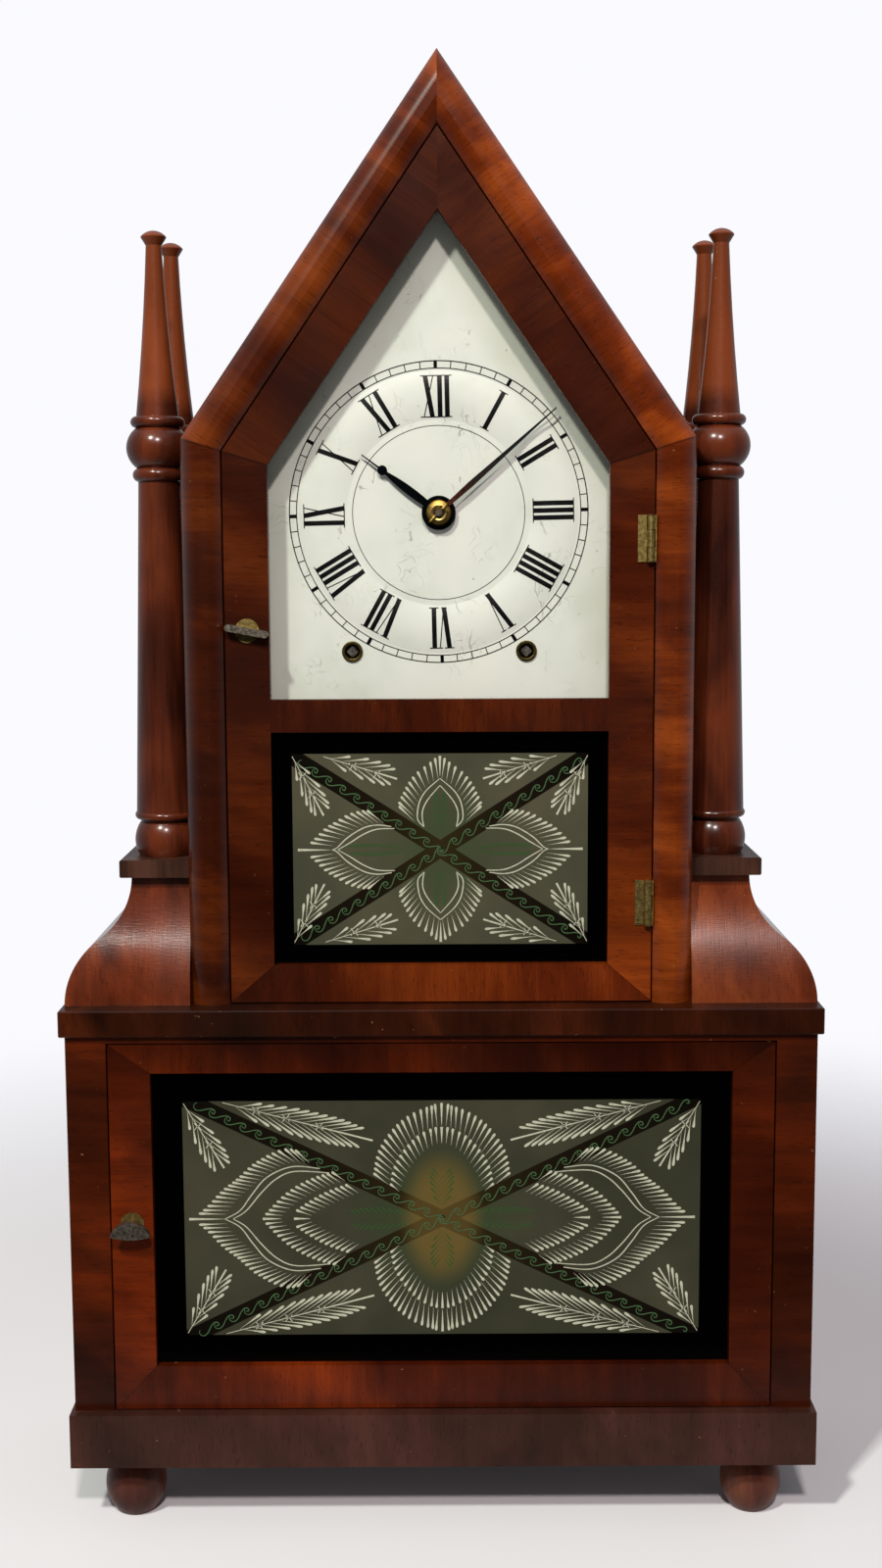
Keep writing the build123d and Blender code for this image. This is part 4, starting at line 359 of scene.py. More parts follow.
# Base: scuffed and greyed, with little shine left
base_veneer = polished_mahogany(
    "base_mahogany", ("#24120c", "#3a1f17", "#4f2d25"), wrapped(front=58.1, side=170.6), rough=0.46,
    coat=0.12, mottle=60.0, seed=31.0)
# Sides and roof: thin old stain, deep brown and matt
side_veneer = polished_mahogany(
    "side_mahogany", ("#1d0903", "#3c1607", "#5e260d"), ((OUT, 0.0, 1.0, BACK),), rough=0.55, coat=0.06,
    mottle=60.0, seed=41.0, sheen=0.04)
# Columns with their steeples: dark red-brown, paler above the joint where the steeple starts
STEEPLE_FOOT = 512.0
column_wood = turned_mahogany("column_mahogany", ("#280e07", "#421a0d", "#5f2914"), paler_above=STEEPLE_FOOT)
# Plinths and feet: greyer and duller, as dust and the broom left them
plinth_wood = turned_mahogany("plinth_mahogany", ("#1f110c", "#352017", "#4b2e24"), rough=0.42, coat=0.2,
                              seed=8.0)
foot_wood = turned_mahogany("foot_mahogany", ("#30150c", "#4a241a", "#623624"), rough=0.42, coat=0.15,
                            seed=3.0)
# Step pulleys: pale bare beech
pulley_wood = turned_mahogany("pulley_beech", ("#5a3a22", "#7c5836", "#95713f"), rough=0.5, coat=0.0)
back_pine = sawn_pine("back_board_pine")


# Metals, dial paint and glass

TARNISH_FINER = 2.7


def metal(name, tones, rough, spots, size, blotch="#2a2118", metallic=1.0):
    """A metal with a dull film: tones drift over it, and blotches of tarnish break up its shine."""
    def build(tree):
        place = place_in_mm(tree)
        film = blotches(tree, place, size, detail=4.0, roughness=0.65)
        tone = add(tree, "ShaderNodeValToRGB", {0: film}, stops=((0.35, tones[0]), (0.65, tones[1])))
        tarnish = blotches(tree, place, size / TARNISH_FINER, detail=3.0)
        tone = tint(tree, tone, blotch, tarnish, begin=0.5, full=0.7, most=spots)
        shine = add(tree, "ShaderNodeMapRange", {"Value": tarnish, "From Min": 0.3, "From Max": 0.7,
                                                 "To Min": rough - 0.08, "To Max": rough + 0.18})
        bump = add(tree, "ShaderNodeBump", {"Height": tarnish, "Strength": 0.05, "Distance": 0.1 * MM})
        return {"Base Color": tone, "Roughness": shine, "Metallic": metallic, "Normal": bump}
    return finish(name, build)


# Stamped hinge leaves and latch plates: dull yellow, half brown with tarnish
hinge_brass = metal("hinge_brass_tarnished", ("#7d6a3c", "#bfa865"), rough=0.42, spots=0.55, size=2.0)

WASHER_RADIUS = 7.0
RUBBED_FILM_SIZE = 1.111


def hub_brass_build(tree):
    """Dished brass washer: a bright ring between its dark rim and its dark middle."""
    place = place_in_mm(tree)
    flat = add(tree, "ShaderNodeVectorMath", {0: place, 1: (0.0, 0.0, HUB_Z)}, operation="SUBTRACT")
    flat = add(tree, "ShaderNodeVectorMath", {0: flat, 1: (1.0, 0.0, 1.0)}, operation="MULTIPLY")
    far = add(tree, "ShaderNodeVectorMath", {0: flat}, operation="LENGTH")
    share = add(tree, "ShaderNodeMath", {0: far, 1: WASHER_RADIUS}, operation="DIVIDE")
    tone = add(tree, "ShaderNodeValToRGB", {0: share},
               stops=((0.0, "#b8b2a4"), (0.22, "#8f8068"), (0.30, "#5a4522"), (0.42, "#e0c274"),
                      (0.68, "#c39c4a"), (0.80, "#4a3a1d"), (1.0, "#3a2d16")))
    film = blotches(tree, place, RUBBED_FILM_SIZE, detail=3.0, roughness=0.65)
    tone = tint(tree, tone, "#4b3c20", film, begin=0.5, full=0.7, most=0.5)
    shine = add(tree, "ShaderNodeMapRange",
                {"Value": film, "From Min": 0.3, "From Max": 0.7, "To Min": 0.26, "To Max": 0.48})
    return {"Base Color": tone, "Roughness": shine, "Metallic": 1.0}


hub_brass = finish("hub_brass_ringed", hub_brass_build)
# Turned rings of the winding holes: almost black with dirt, a dull glint of yellow left
grommet_brass = metal("grommet_brass_tarnished", ("#4f4524", "#8a7a42"), rough=0.36, spots=0.6, size=1.429)
# Cut and polished wheels and bob: warm yellow with a few brown clouds
wheel_brass = metal("wheel_brass_aged", ("#86682f", "#b8944c"), rough=0.34, spots=0.3, size=5.0)
# Rolled plates: the same yellow, browner and in broad clouds
plate_brass = metal("plate_brass_aged", ("#7c6230", "#a98a48"), rough=0.36, spots=0.35, size=16.67)
# Cast and filed latch turns: grey worn pale by fingers
latch_steel = metal("latch_steel_worn", ("#5d564c", "#a89d8d"), rough=0.4, spots=0.4, size=1.667)
# Drawn and oiled arbors and rod: bright grey with a tight gleam
arbor_steel = metal("arbor_steel_oiled", ("#948c80", "#cfc7b8"), rough=0.30, spots=0.35, size=2.5)
# Hardened spring leaves and gong wire: black scale with a low, broad gleam
spring_steel = metal("spring_steel_scaled", ("#23211f", "#45403a"), rough=0.48, spots=0.5, size=8.333)
# Sand-cast saddle and brackets: black and dry
cast_iron = metal("saddle_iron_cast", ("#1c1a18", "#34302b"), rough=0.6, spots=0.4, size=2.5)
# Blued steel hour hand: nearly black, so that it stands out from the dial
hour_steel = metal("hour_hand_blued_steel", ("#07080a", "#131519"), rough=0.42, spots=0.3, size=2.0,
                   blotch="#060608")
# Twisted gut of the drive cords: no metal, but the same drifting film in waxy yellow-brown
gut = metal("gut_cord", ("#7d6640", "#a58a58"), rough=0.6, spots=0.2, size=0.8333, metallic=0.0)

MINUTE_HAND_WAY = (0.7524, 0, 0.6587)
MINUTE_HAND_REACH = 70.0
BLUED_FILM_SIZE = 1.25


def minute_steel_build(tree):
    """Blued steel gone brown near the hub, with a painted grey reflection along its blade where the light
    catches it.
    """
    place = place_in_mm(tree)
    along = reach(tree, place, MINUTE_HAND_WAY, MINUTE_HAND_WAY[Z] * HUB_Z)
    share = add(tree, "ShaderNodeMapRange", {"Value": along, "From Min": 0.0, "From Max": MINUTE_HAND_REACH})
    ramp = add(tree, "ShaderNodeValToRGB", {0: share},
               stops=((0.05, "#7a4030"), (0.32, "#453b38"), (0.75, "#2c3034")))
    film = blotches(tree, place, BLUED_FILM_SIZE, detail=3.0)
    shine = add(tree, "ShaderNodeMapRange",
                {"Value": film, "From Min": 0.3, "From Max": 0.7, "To Min": 0.28, "To Max": 0.5})
    return {"Base Color": ramp, "Roughness": shine, "Metallic": 1.0}


minute_steel = finish("minute_hand_steel", minute_steel_build)

CREAM_SIZE, CRACK_SPACING, WANDER_SIZE, SPECK_SIZE = 45.45, 41.67, 20.0, 2.381
DIAL_BRUSH_SIZE = (1.667, 1.667, 11.11)


def dial_paint_build(tree):
    """Zinc painted off-white by hand: brushed, slightly green at its edges, with fine age cracks."""
    place = place_in_mm(tree)
    flat = add(tree, "ShaderNodeVectorMath", {0: place, 1: (1.0, 0.0, 1.0)}, operation="MULTIPLY")
    cloud = blotches(tree, flat, CREAM_SIZE, detail=4.0, roughness=0.6)
    cream = add(tree, "ShaderNodeValToRGB", {0: cloud},
                stops=((0.32, "#dce0d2"), (0.5, "#e8ebe0"), (0.70, "#f0efe3")))
    split = add(tree, "ShaderNodeSeparateXYZ", {0: place})
    wide = add(tree, "ShaderNodeMath", {0: split.outputs[X]}, operation="ABSOLUTE")
    side_edge = add(tree, "ShaderNodeMapRange",
                    {"Value": wide, "From Min": 58.0, "From Max": 80.0, "To Min": 0.0, "To Max": 0.35})
    rake = add(tree, "ShaderNodeMath", {0: wide, 1: GABLE_SLOPE, 2: split.outputs[Z]},
               operation="MULTIPLY_ADD")
    rake_edge = add(tree, "ShaderNodeMapRange",
                    {"Value": rake, "From Min": 560.0, "From Max": 605.0, "To Min": 0.0, "To Max": 0.65})
    edge = add(tree, "ShaderNodeMath", {0: side_edge, 1: rake_edge}, operation="MAXIMUM")
    paint = add(tree, "ShaderNodeMix", {"Factor_Float": edge, "A_Color": cream, "B_Color": "#b9b79b"},
                data_type="RGBA")
    wander = blotches(tree, flat, WANDER_SIZE, detail=3.0)
    bent = add(tree, "ShaderNodeVectorMath", {0: flat, 1: wander.outputs["Color"], 2: flat},
               operation="MULTIPLY_ADD")
    cells = add(tree, "ShaderNodeTexVoronoi", {"Vector": bent, "Scale": 1 / CRACK_SPACING},
                feature="DISTANCE_TO_EDGE")
    crack = add(tree, "ShaderNodeMapRange",
                {"Value": cells, "From Min": 0.0, "From Max": 0.014, "To Min": 1.0, "To Max": 0.0})
    rare = add(tree, "ShaderNodeMapRange",
               {"Value": wander, "From Min": 0.5, "From Max": 0.6, "To Min": 0.0, "To Max": 0.75})
    cracked = add(tree, "ShaderNodeMath", {0: crack, 1: rare}, operation="MULTIPLY")
    paint = add(tree, "ShaderNodeMix", {"Factor_Float": cracked, "A_Color": paint, "B_Color": "#8d8b78"},
                data_type="RGBA")
    specks = blotches(tree, flat, SPECK_SIZE, detail=1.0)
    paint = tint(tree, paint, "#6f6a58", specks, begin=0.77, full=0.80, most=0.6)
    brush = blotches(tree, place, DIAL_BRUSH_SIZE, detail=3.0, distortion=0.4)
    bump = add(tree, "ShaderNodeBump", {"Height": brush, "Strength": 0.10, "Distance": 0.3 * MM})
    return {"Base Color": paint, "Roughness": 0.42, "Normal": bump, "Coat Weight": 0.1}


dial_paint = finish("dial_zinc_painted", dial_paint_build)

GLAZE, GLAZE_ROUGH = 0.3, 0.03
PAINT_WEAR_SIZE = 1.667


def brushed_paint(name, tone, worn, share, rough=0.35, glazed=0.0):
    """Hand laid paint: nearly flat, thinner here and there so that the ground shows through."""
    def build(tree):
        thin = blotches(tree, place_in_mm(tree), PAINT_WEAR_SIZE, detail=3.0, roughness=0.6)
        paint = tint(tree, tone, worn, thin, begin=0.48, full=0.72, most=share)
        return {"Base Color": paint, "Roughness": rough, "Coat Weight": glazed,
                "Specular IOR Level": 0.0 if glazed else 0.3, "Coat Roughness": GLAZE_ROUGH}
    return finish(name, build)


# Dial blacks: full in the numerals, thinner and greyer in the fine track
numeral_black = brushed_paint("numeral_black_paint", "#070709", "#34322f", 0.3)
track_black = brushed_paint("minute_track_paint", "#131316", "#56564f", 0.4)
# Paint behind the tablets' glass: a warm off-white that reads as chalk, and two quiet greens
feather_white = brushed_paint("feather_white_paint", "#b8b8a2", "#868672", 0.5, rough=0.5, glazed=GLAZE)
wave_green = brushed_paint("wave_green_paint", "#44603f", "#24342a", 0.5, rough=0.5, glazed=GLAZE)
leaf_green = brushed_paint("leaf_green_paint", "#2f4f28", "#3a4a22", 0.6, rough=0.5, glazed=GLAZE)

BAND_HALF_WIDTH, BAND_EDGE = 3.8, 0.3
GROUND_SIZE = 58.82
GREEN_CORE = 8.0
GLOW_NARROWING, GLOW_ON_BAND = 1.6, 0.45


def tablet_glass(name, centre_z, half_width, half_height, band_slope, glow, green, tones):
    """Glass painted on its back: a deep black border and olive-grey ground under a clear shine.

    Two crossing bands run corner to corner. Green spreads from the middle, green millimetres far,
    and thin paint lets a warmer tone through there, glow millimetres high.
    """
    def build(tree):
        place = place_in_mm(tree)
        split = add(tree, "ShaderNodeSeparateXYZ", {0: place})
        x = split.outputs[X]
        z = add(tree, "ShaderNodeMath", {0: split.outputs[Z], 1: centre_z}, operation="SUBTRACT")
        wide = add(tree, "ShaderNodeMath", {0: x}, operation="ABSOLUTE")
        high = add(tree, "ShaderNodeMath", {0: z}, operation="ABSOLUTE")
        cloud = blotches(tree, place, GROUND_SIZE, detail=3.0, roughness=0.6)
        ground = add(tree, "ShaderNodeValToRGB", {0: cloud},
                     stops=((0.32, tones[0]), (0.5, tones[1]), (0.70, tones[2])))
        spread = add(tree, "ShaderNodeCombineXYZ", {X: x, Y: 0.0, Z: z})
        far = add(tree, "ShaderNodeVectorMath", {0: spread}, operation="LENGTH")
        ground = tint(tree, ground, "#37432a", far, begin=green, full=GREEN_CORE, most=0.7,
                      curve="SMOOTHSTEP")
        line = add(tree, "ShaderNodeMath", {0: wide, 1: -band_slope, 2: high}, operation="MULTIPLY_ADD")
        off = add(tree, "ShaderNodeMath", {0: line}, operation="ABSOLUTE")
        half_band = BAND_HALF_WIDTH * math.sqrt(1 + band_slope ** 2)
        on_band = add(tree, "ShaderNodeMapRange", {"Value": off, "From Min": half_band - BAND_EDGE,
                                                   "From Max": half_band, "To Min": 1.0, "To Max": 0.0})
        fade = add(tree, "ShaderNodeMapRange", {"Value": wide, "From Min": 0.0, "From Max": half_width})
        band = add(tree, "ShaderNodeValToRGB", {0: fade},
                   stops=((0.0, "#2c2513"), (0.4, "#1a140c"), (1.0, "#0d0b08")))
        ground = add(tree, "ShaderNodeMix", {"Factor_Float": on_band, "A_Color": ground, "B_Color": band},
                     data_type="RGBA")
        if glow:
            oval = add(tree, "ShaderNodeVectorMath", {0: spread, 1: (GLOW_NARROWING, 1.0, 1.0)},
                       operation="MULTIPLY")
            off_middle = add(tree, "ShaderNodeVectorMath", {0: oval}, operation="LENGTH")
            warm = add(tree, "ShaderNodeMapRange", {"Value": off_middle, "From Min": glow / 2,
                                                    "From Max": glow, "To Min": 0.85, "To Max": 0.0},
                       interpolation_type="SMOOTHSTEP")
            weak = add(tree, "ShaderNodeMath", {0: on_band, 1: -GLOW_ON_BAND, 2: 1.0},
                       operation="MULTIPLY_ADD")
            warm = add(tree, "ShaderNodeMath", {0: warm, 1: weak}, operation="MULTIPLY")
            ground = add(tree, "ShaderNodeMix",
                         {"Factor_Float": warm, "A_Color": ground, "B_Color": "#64522a"}, data_type="RGBA")
        out_x = add(tree, "ShaderNodeMath", {0: wide, 1: half_width}, operation="GREATER_THAN")
        out_z = add(tree, "ShaderNodeMath", {0: high, 1: half_height}, operation="GREATER_THAN")
        border = add(tree, "ShaderNodeMath", {0: out_x, 1: out_z}, operation="MAXIMUM")
        paint = add(tree, "ShaderNodeMix", {"Factor_Float": border, "A_Color": ground, "B_Color": "#010101"},
                    data_type="RGBA")
        return {"Base Color": paint, "Roughness": 0.6, "Specular IOR Level": 0.0, "Coat Weight": GLAZE,
                "Coat Roughness": GLAZE_ROUGH, "Coat IOR": 1.5}
    return finish(name, build)


UPPER_Z, UPPER_X, UPPER_H, UPPER_SLOPE = 313.15, 66.4, 43.5, 0.64
LOWER_Z, LOWER_X, LOWER_H, LOWER_SLOPE = 144.75, 117.5, 55.2, 0.484
upper_glass = tablet_glass("upper_tablet_painted_glass", UPPER_Z, UPPER_X, UPPER_H, UPPER_SLOPE,
                           glow=0.0, green=34.0, tones=("#3c3f31", "#444335", "#4e4b3a"))
lower_glass = tablet_glass("lower_tablet_painted_glass", LOWER_Z, LOWER_X, LOWER_H, LOWER_SLOPE,
                           glow=34.0, green=46.0, tones=("#313327", "#39392c", "#434032"))

GLASS_WAVE_SIZE = 50.0


def window_glass_build(tree):
    """Old window glass: clear, with a faint wave that bends its reflections."""
    wave = blotches(tree, place_in_mm(tree), GLASS_WAVE_SIZE, detail=1.0)
    bump = add(tree, "ShaderNodeBump", {"Height": wave, "Strength": 0.05, "Distance": 1.0 * MM})
    return {"Base Color": "#060807", "Roughness": 0.02, "Alpha": 0.06, "IOR": 1.5, "Normal": bump}


window_glass = finish("dial_window_glass", window_glass_build)

nodes_of_finish = (
    (foot_wood, "feet"),
    (base_veneer, "base_frame"),
    (side_veneer, "lower_sides", "upper_shell_left", "upper_shell_right"),
    (stile_veneer, "lower_front_frame"),
    (back_pine, "lower_back", "upper_back", "movement_rails"),
    (shelf_veneer, "waist_shelf"),
    (wing_veneer, "ogee_wing_left", "ogee_wing_right"),
    (plinth_wood, "plinths"),
    (column_wood, "column_front_left", "column_front_right", "column_rear_left", "column_rear_right"),
    (gable_veneer, "gable_moulding_left", "gable_moulding_right"),
    (door_veneer, "upper_door_frame"),
    (low_door_veneer, "lower_door_frame"),
    (window_glass, "dial_glass"),
    (upper_glass, "upper_tablet"),
    (lower_glass, "lower_tablet"),
    (hinge_brass, "upper_hinge_case_leaves", "upper_hinge_door_leaves", "lower_door_pivots",
     "upper_latch_plate", "lower_latch_plate"),
    (latch_steel, "upper_latch_turn", "lower_latch_turn"),
    (dial_paint, "dial_plate"),
    (grommet_brass, "winding_grommets"),
    (plate_brass, "front_plate", "back_plate"),
    (wheel_brass, "time_great_wheel", "strike_great_wheel", "second_wheel", "third_wheel", "escape_wheel",
     "hour_wheel", "minute_wheel", "pin_wheel", "fly", "pendulum_bob"),
    (arbor_steel, "time_winding_arbor", "strike_winding_arbor", "verge", "pendulum_rod", "hammer"),
    (hub_brass, "centre_arbor"),
    (hour_steel, "hour_hand"),
    (minute_steel, "minute_hand"),
    (spring_steel, "gong", "leaf_spring"),
    (cast_iron, "spring_saddle", "pulley_brackets"),
    (pulley_wood, "time_pulley", "strike_pulley"),
    (gut, "drive_cords"),
)
for finish_used, *names in nodes_of_finish:
    for name in names:
        nodes[name].data.materials.clear()
        nodes[name].data.materials.append(finish_used)


# Painted work: flat marks laid a hair above the surface that carries them

def make_mesh(name, corners, faces, material):
    """A new object from corners in metres and faces that name them."""
    mesh = bpy.data.meshes.new(name)
    mesh.from_pydata(corners, [], faces)
    mesh.materials.append(material)
    mesh.update()
    piece = bpy.data.objects.new(name, mesh)
    bpy.context.collection.objects.link(piece)
    return piece


def smooth(points, steps=6):
    """A smooth line through a few measured points, on Catmull-Rom curves."""
    line = []
    for i in range(len(points) - 1):
        before = Vector(points[max(i - 1, 0)])
        start, end = Vector(points[i]), Vector(points[i + 1])
        after = Vector(points[min(i + 2, len(points) - 1)])
        for k in range(steps):
            t = k / steps
            line.append(0.5 * (2 * start + (end - before) * t
                               + (2 * before - 5 * start + 4 * end - after) * t * t
                               + (3 * start - before - 3 * end + after) * t ** 3))
    line.append(Vector(points[-1]))
    return line


def face_viewer(piece):
    """Turns every face of a flat mark toward the front."""
    for face in piece.data.polygons:
        if face.normal.y > 0:
            face.flip()
    piece.data.update()


class Marks:
    """Gathers flat marks in the plane of a dial or tablet, as (X, Z) in millimetres."""

    def __init__(self, name, material, body, front_y):
        self.name, self.material, self.body, self.front_y = name, material, body, front_y
        self.corners, self.faces = [], []

    def ribbon(self, line, widths):
        """A brush line whose width runs through the given widths."""
        count = len(line)
        start = len(self.corners)
        for i, point in enumerate(line):
            ahead, behind = Vector(line[min(i + 1, count - 1)]), Vector(line[max(i - 1, 0)])
            way = (ahead - behind).normalized()
            share = i / (count - 1) * (len(widths) - 1)
            low = min(int(share), len(widths) - 2)
            half = (widths[low] + (widths[low + 1] - widths[low]) * (share - low)) / 2
            side = Vector((-way.y, way.x)) * half
            self.corners += [tuple(Vector(point) + side), tuple(Vector(point) - side)]
        for i in range(count - 1):
            a = start + 2 * i
            self.faces.append([a, a + 1, a + 3, a + 2])

    def lay(self, lift, centre_z=0.0):
        """Makes the piece; lift(x, z) says how far it lies before the front there, in millimetres."""
        corners = [(x * MM, (self.front_y - lift(x, z)) * MM, (z + centre_z) * MM) for x, z in self.corners]
        piece = make_mesh(self.name, corners, self.faces, self.material)
        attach(piece, self.body)
        face_viewer(piece)


HAIR = 0.06
RING_LOW, RING_HIGH, RING_RISE = 41.1, 62.6, 1.2
RING_HALF = (RING_HIGH - RING_LOW) / 2
RING_BEND = (RING_HALF ** 2 + RING_RISE ** 2) / (2 * RING_RISE)
DIAL_TURN = math.radians(-1.1)
HOUR = 30.0


def dial_lift(x, z):
    """The chapter ring is pressed up in a shallow arc, and marks follow it."""
    away = abs(math.hypot(x, z - HUB_Z) - (RING_LOW + RING_HALF))
    rise = math.sqrt(RING_BEND ** 2 - away ** 2) - (RING_BEND - RING_RISE) if away < RING_HALF else 0.0
    return max(rise, 0.0) + HAIR


def on_dial(turn, across, out):
    """A place given by a clock angle, a distance clockwise of it and a distance from the centre."""
    angle = math.radians(turn) + DIAL_TURN
    return (out * math.sin(angle) + across * math.cos(angle),
            HUB_Z + out * math.cos(angle) - across * math.sin(angle))


# Each letter has its width, its strokes as (foot, head, thickness) and its serifs as (middle, half
# width, height), all across the letter from its middle. Feet point to the dial's centre.
FOOT, HEAD = 42.2, 60.2
THICK, FINE = 2.1, 0.46
SERIF, SMALL_SERIF, FOOT_SERIF = 2.15, 1.6, 1.2
LETTERS = {
    "I": (3.2, ((0.0, 0.0, THICK),), ((0.0, SERIF, FOOT), (0.0, SERIF, HEAD))),
    "V": (6.4, ((0.3, -1.9, THICK), (0.5, 2.3, FINE)),
          ((-1.9, SERIF, HEAD), (2.3, FOOT_SERIF, HEAD), (0.3, FOOT_SERIF, FOOT))),
    "X": (6.6, ((1.5, -1.5, THICK), (-2.2, 2.0, FINE)),
          ((1.5, SERIF, FOOT), (-2.2, SMALL_SERIF, FOOT), (-1.5, SERIF, HEAD), (2.0, SMALL_SERIF, HEAD))),
}
STROKE_STEPS, SERIF_STEPS, CIRCLE_STEPS = 10, 6, 144


def draw_numeral(marks, turn, letters):
    """Draws the letters of a numeral side by side, upright along one clock angle."""
    at = -sum(LETTERS[letter][0] for letter in letters) / 2
    for letter in letters:
        width, strokes, serifs = LETTERS[letter]
        middle = at + width / 2
        for foot_at, head_at, thickness in strokes:
            shares = [k / STROKE_STEPS for k in range(STROKE_STEPS + 1)]
            line = [on_dial(turn, middle + foot_at + (head_at - foot_at) * share,
                            FOOT + (HEAD - FOOT) * share) for share in shares]
            marks.ribbon(line, (thickness, thickness))
        for serif_at, half, out in serifs:
            line = [on_dial(turn, middle + serif_at - half + 2 * half * k / SERIF_STEPS, out)
                    for k in range(SERIF_STEPS + 1)]
            marks.ribbon(line, (FINE, FINE))
        at += width


TRACK_RADIUS = 63.5
numerals = Marks("roman_numerals", numeral_black, "case", DIAL_FRONT)
for hour, letters in enumerate(("XII", "I", "II", "III", "IIII", "V", "VI", "VII", "VIII", "IX", "X", "XI")):
    draw_numeral(numerals, hour * HOUR, letters)
rings = Marks("dial_circles", track_black, "case", DIAL_FRONT)
for radius, width in ((38.5, 0.32), (TRACK_RADIUS, 0.44), (66.7, 0.50)):
    circle = [on_dial(360 * k / CIRCLE_STEPS, 0.0, radius) for k in range(CIRCLE_STEPS + 1)]
    rings.ribbon(circle, (width, width))
for marks in (numerals, rings):
    marks.lay(dial_lift)


# Repeats made by geometry nodes

def repeat_tree(name, sizes, build):
    """A geometry node tree with one geometry in and out and named inputs for its sizes."""
    tree = bpy.data.node_groups.new(name, "GeometryNodeTree")
    tree.interface.new_socket("Geometry", in_out="INPUT", socket_type="NodeSocketGeometry")
    for size, kind in sizes.items():
        tree.interface.new_socket(size, in_out="INPUT", socket_type="NodeSocket" + kind)
    tree.interface.new_socket("Geometry", in_out="OUTPUT", socket_type="NodeSocketGeometry")
    given = add(tree, "NodeGroupInput")
    marks = build(tree, given.outputs)
    whole = add(tree, "GeometryNodeRealizeInstances", {0: marks})
    painted = add(tree, "GeometryNodeSetMaterial", {"Geometry": whole, "Material": given.outputs["Paint"]})
    add(tree, "NodeGroupOutput", {0: painted})
    return tree


def feather_build(tree, given):
    """Marks stand along a line: the line's radius is their length and its tilt their lean."""
    line = add(tree, "GeometryNodeResampleCurve", {"Curve": given["Geometry"], "Length": given["Spacing"]},
               mode="LENGTH")
    tangent = add(tree, "ShaderNodeSeparateXYZ", {0: add(tree, "GeometryNodeInputTangent")})
    heading = add(tree, "ShaderNodeMath", {0: tangent.outputs[Y], 1: tangent.outputs[X]}, operation="ARCTAN2")
    tilt = add(tree, "GeometryNodeInputCurveTilt")
    lean = add(tree, "ShaderNodeMath", {0: heading, 1: tilt}, operation="ADD")
    turn = add(tree, "ShaderNodeCombineXYZ", {Z: lean})
    length = add(tree, "GeometryNodeInputRadius")
    size = add(tree, "ShaderNodeCombineXYZ", {X: given["Width"], Y: length, Z: 1.0})
    mark = add(tree, "GeometryNodeObjectInfo", {"Object": given["Mark"]}).outputs["Geometry"]
    return add(tree, "GeometryNodeInstanceOnPoints",
               {"Points": line, "Instance": mark, "Rotation": turn, "Scale": size})


def ring_build(tree, given):
    """Marks stand round a circle, their feet toward its middle."""
    circle = add(tree, "GeometryNodeMeshCircle", {"Vertices": given["Count"], "Radius": given["Radius"]})
    place = add(tree, "ShaderNodeSeparateXYZ", {0: add(tree, "GeometryNodeInputPosition")})
    heading = add(tree, "ShaderNodeMath", {0: place.outputs[Y], 1: place.outputs[X]}, operation="ARCTAN2")
    upright = add(tree, "ShaderNodeMath", {0: heading, 1: math.pi / 2}, operation="SUBTRACT")
    turn = add(tree, "ShaderNodeCombineXYZ", {Z: upright})
    size = add(tree, "ShaderNodeCombineXYZ", {X: given["Width"], Y: given["Length"], Z: 1.0})
    mark = add(tree, "GeometryNodeObjectInfo", {"Object": given["Mark"]}).outputs["Geometry"]
    return add(tree, "GeometryNodeInstanceOnPoints",
               {"Points": circle, "Instance": mark, "Rotation": turn, "Scale": size})


feathering = repeat_tree("feathering", {"Spacing": "Float", "Width": "Float", "Mark": "Object",
                                        "Paint": "Material"}, feather_build)
ring_of_marks = repeat_tree("ring_of_marks", {"Radius": "Float", "Count": "Int", "Width": "Float",
                                              "Length": "Float", "Mark": "Object", "Paint": "Material"},
                            ring_build)


def run_tree(source, tree, values):
    """Runs a tree on an object and returns its result as a plain mesh."""
    modifier = source.modifiers.new(tree.name, "NODES")
    modifier.node_group = tree
    sockets = {item.name: item.identifier for item in tree.interface.items_tree if item.in_out == "INPUT"}
    for key, value in values.items():
        modifier[sockets[key]] = value
    bpy.context.view_layer.update()
    result = bpy.data.meshes.new_from_object(source.evaluated_get(bpy.context.evaluated_depsgraph_get()))
    source.modifiers.remove(modifier)
    return result


def lay_upright(name, mesh, body, front_y, centre_z, turn=0.0):
    """Stands a flat result up as painted work: its Y becomes height above a centre."""
    moved = Matrix.Translation((0, (front_y - HAIR) * MM, centre_z * MM)) @ Matrix.Rotation(turn, 4, "Y")
    mesh.transform(moved @ Matrix.Rotation(math.pi / 2, 4, "X") @ Matrix.Scale(MM, 4))
    mesh.name = name
    piece = bpy.data.objects.new(name, mesh)
    bpy.context.collection.objects.link(piece)
    face_viewer(piece)
    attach(piece, body)


def mark_shape(name, outline):
    """A flat mark one unit long that the trees repeat, from its right-hand outline."""
    corners = [(x, y, 0) for x, y in outline] + [(-x, y, 0) for x, y in outline]
    n = len(outline)
    faces = [[i, i + 1, n + i + 1, n + i] for i in range(n - 1)]
    return make_mesh(name, corners, faces, numeral_black)


# A loaded brush pulled toward its tail leaves a round blob that thins to a hair
brush_stroke = mark_shape("brush_stroke", ((0.02, 0.0), (0.07, 0.25), (0.15, 0.5), (0.31, 0.72),
                                           (0.48, 0.88), (0.43, 0.95), (0.2, 1.0)))
square_mark = mark_shape("square_mark", ((0.5, 0.0), (0.5, 1.0)))

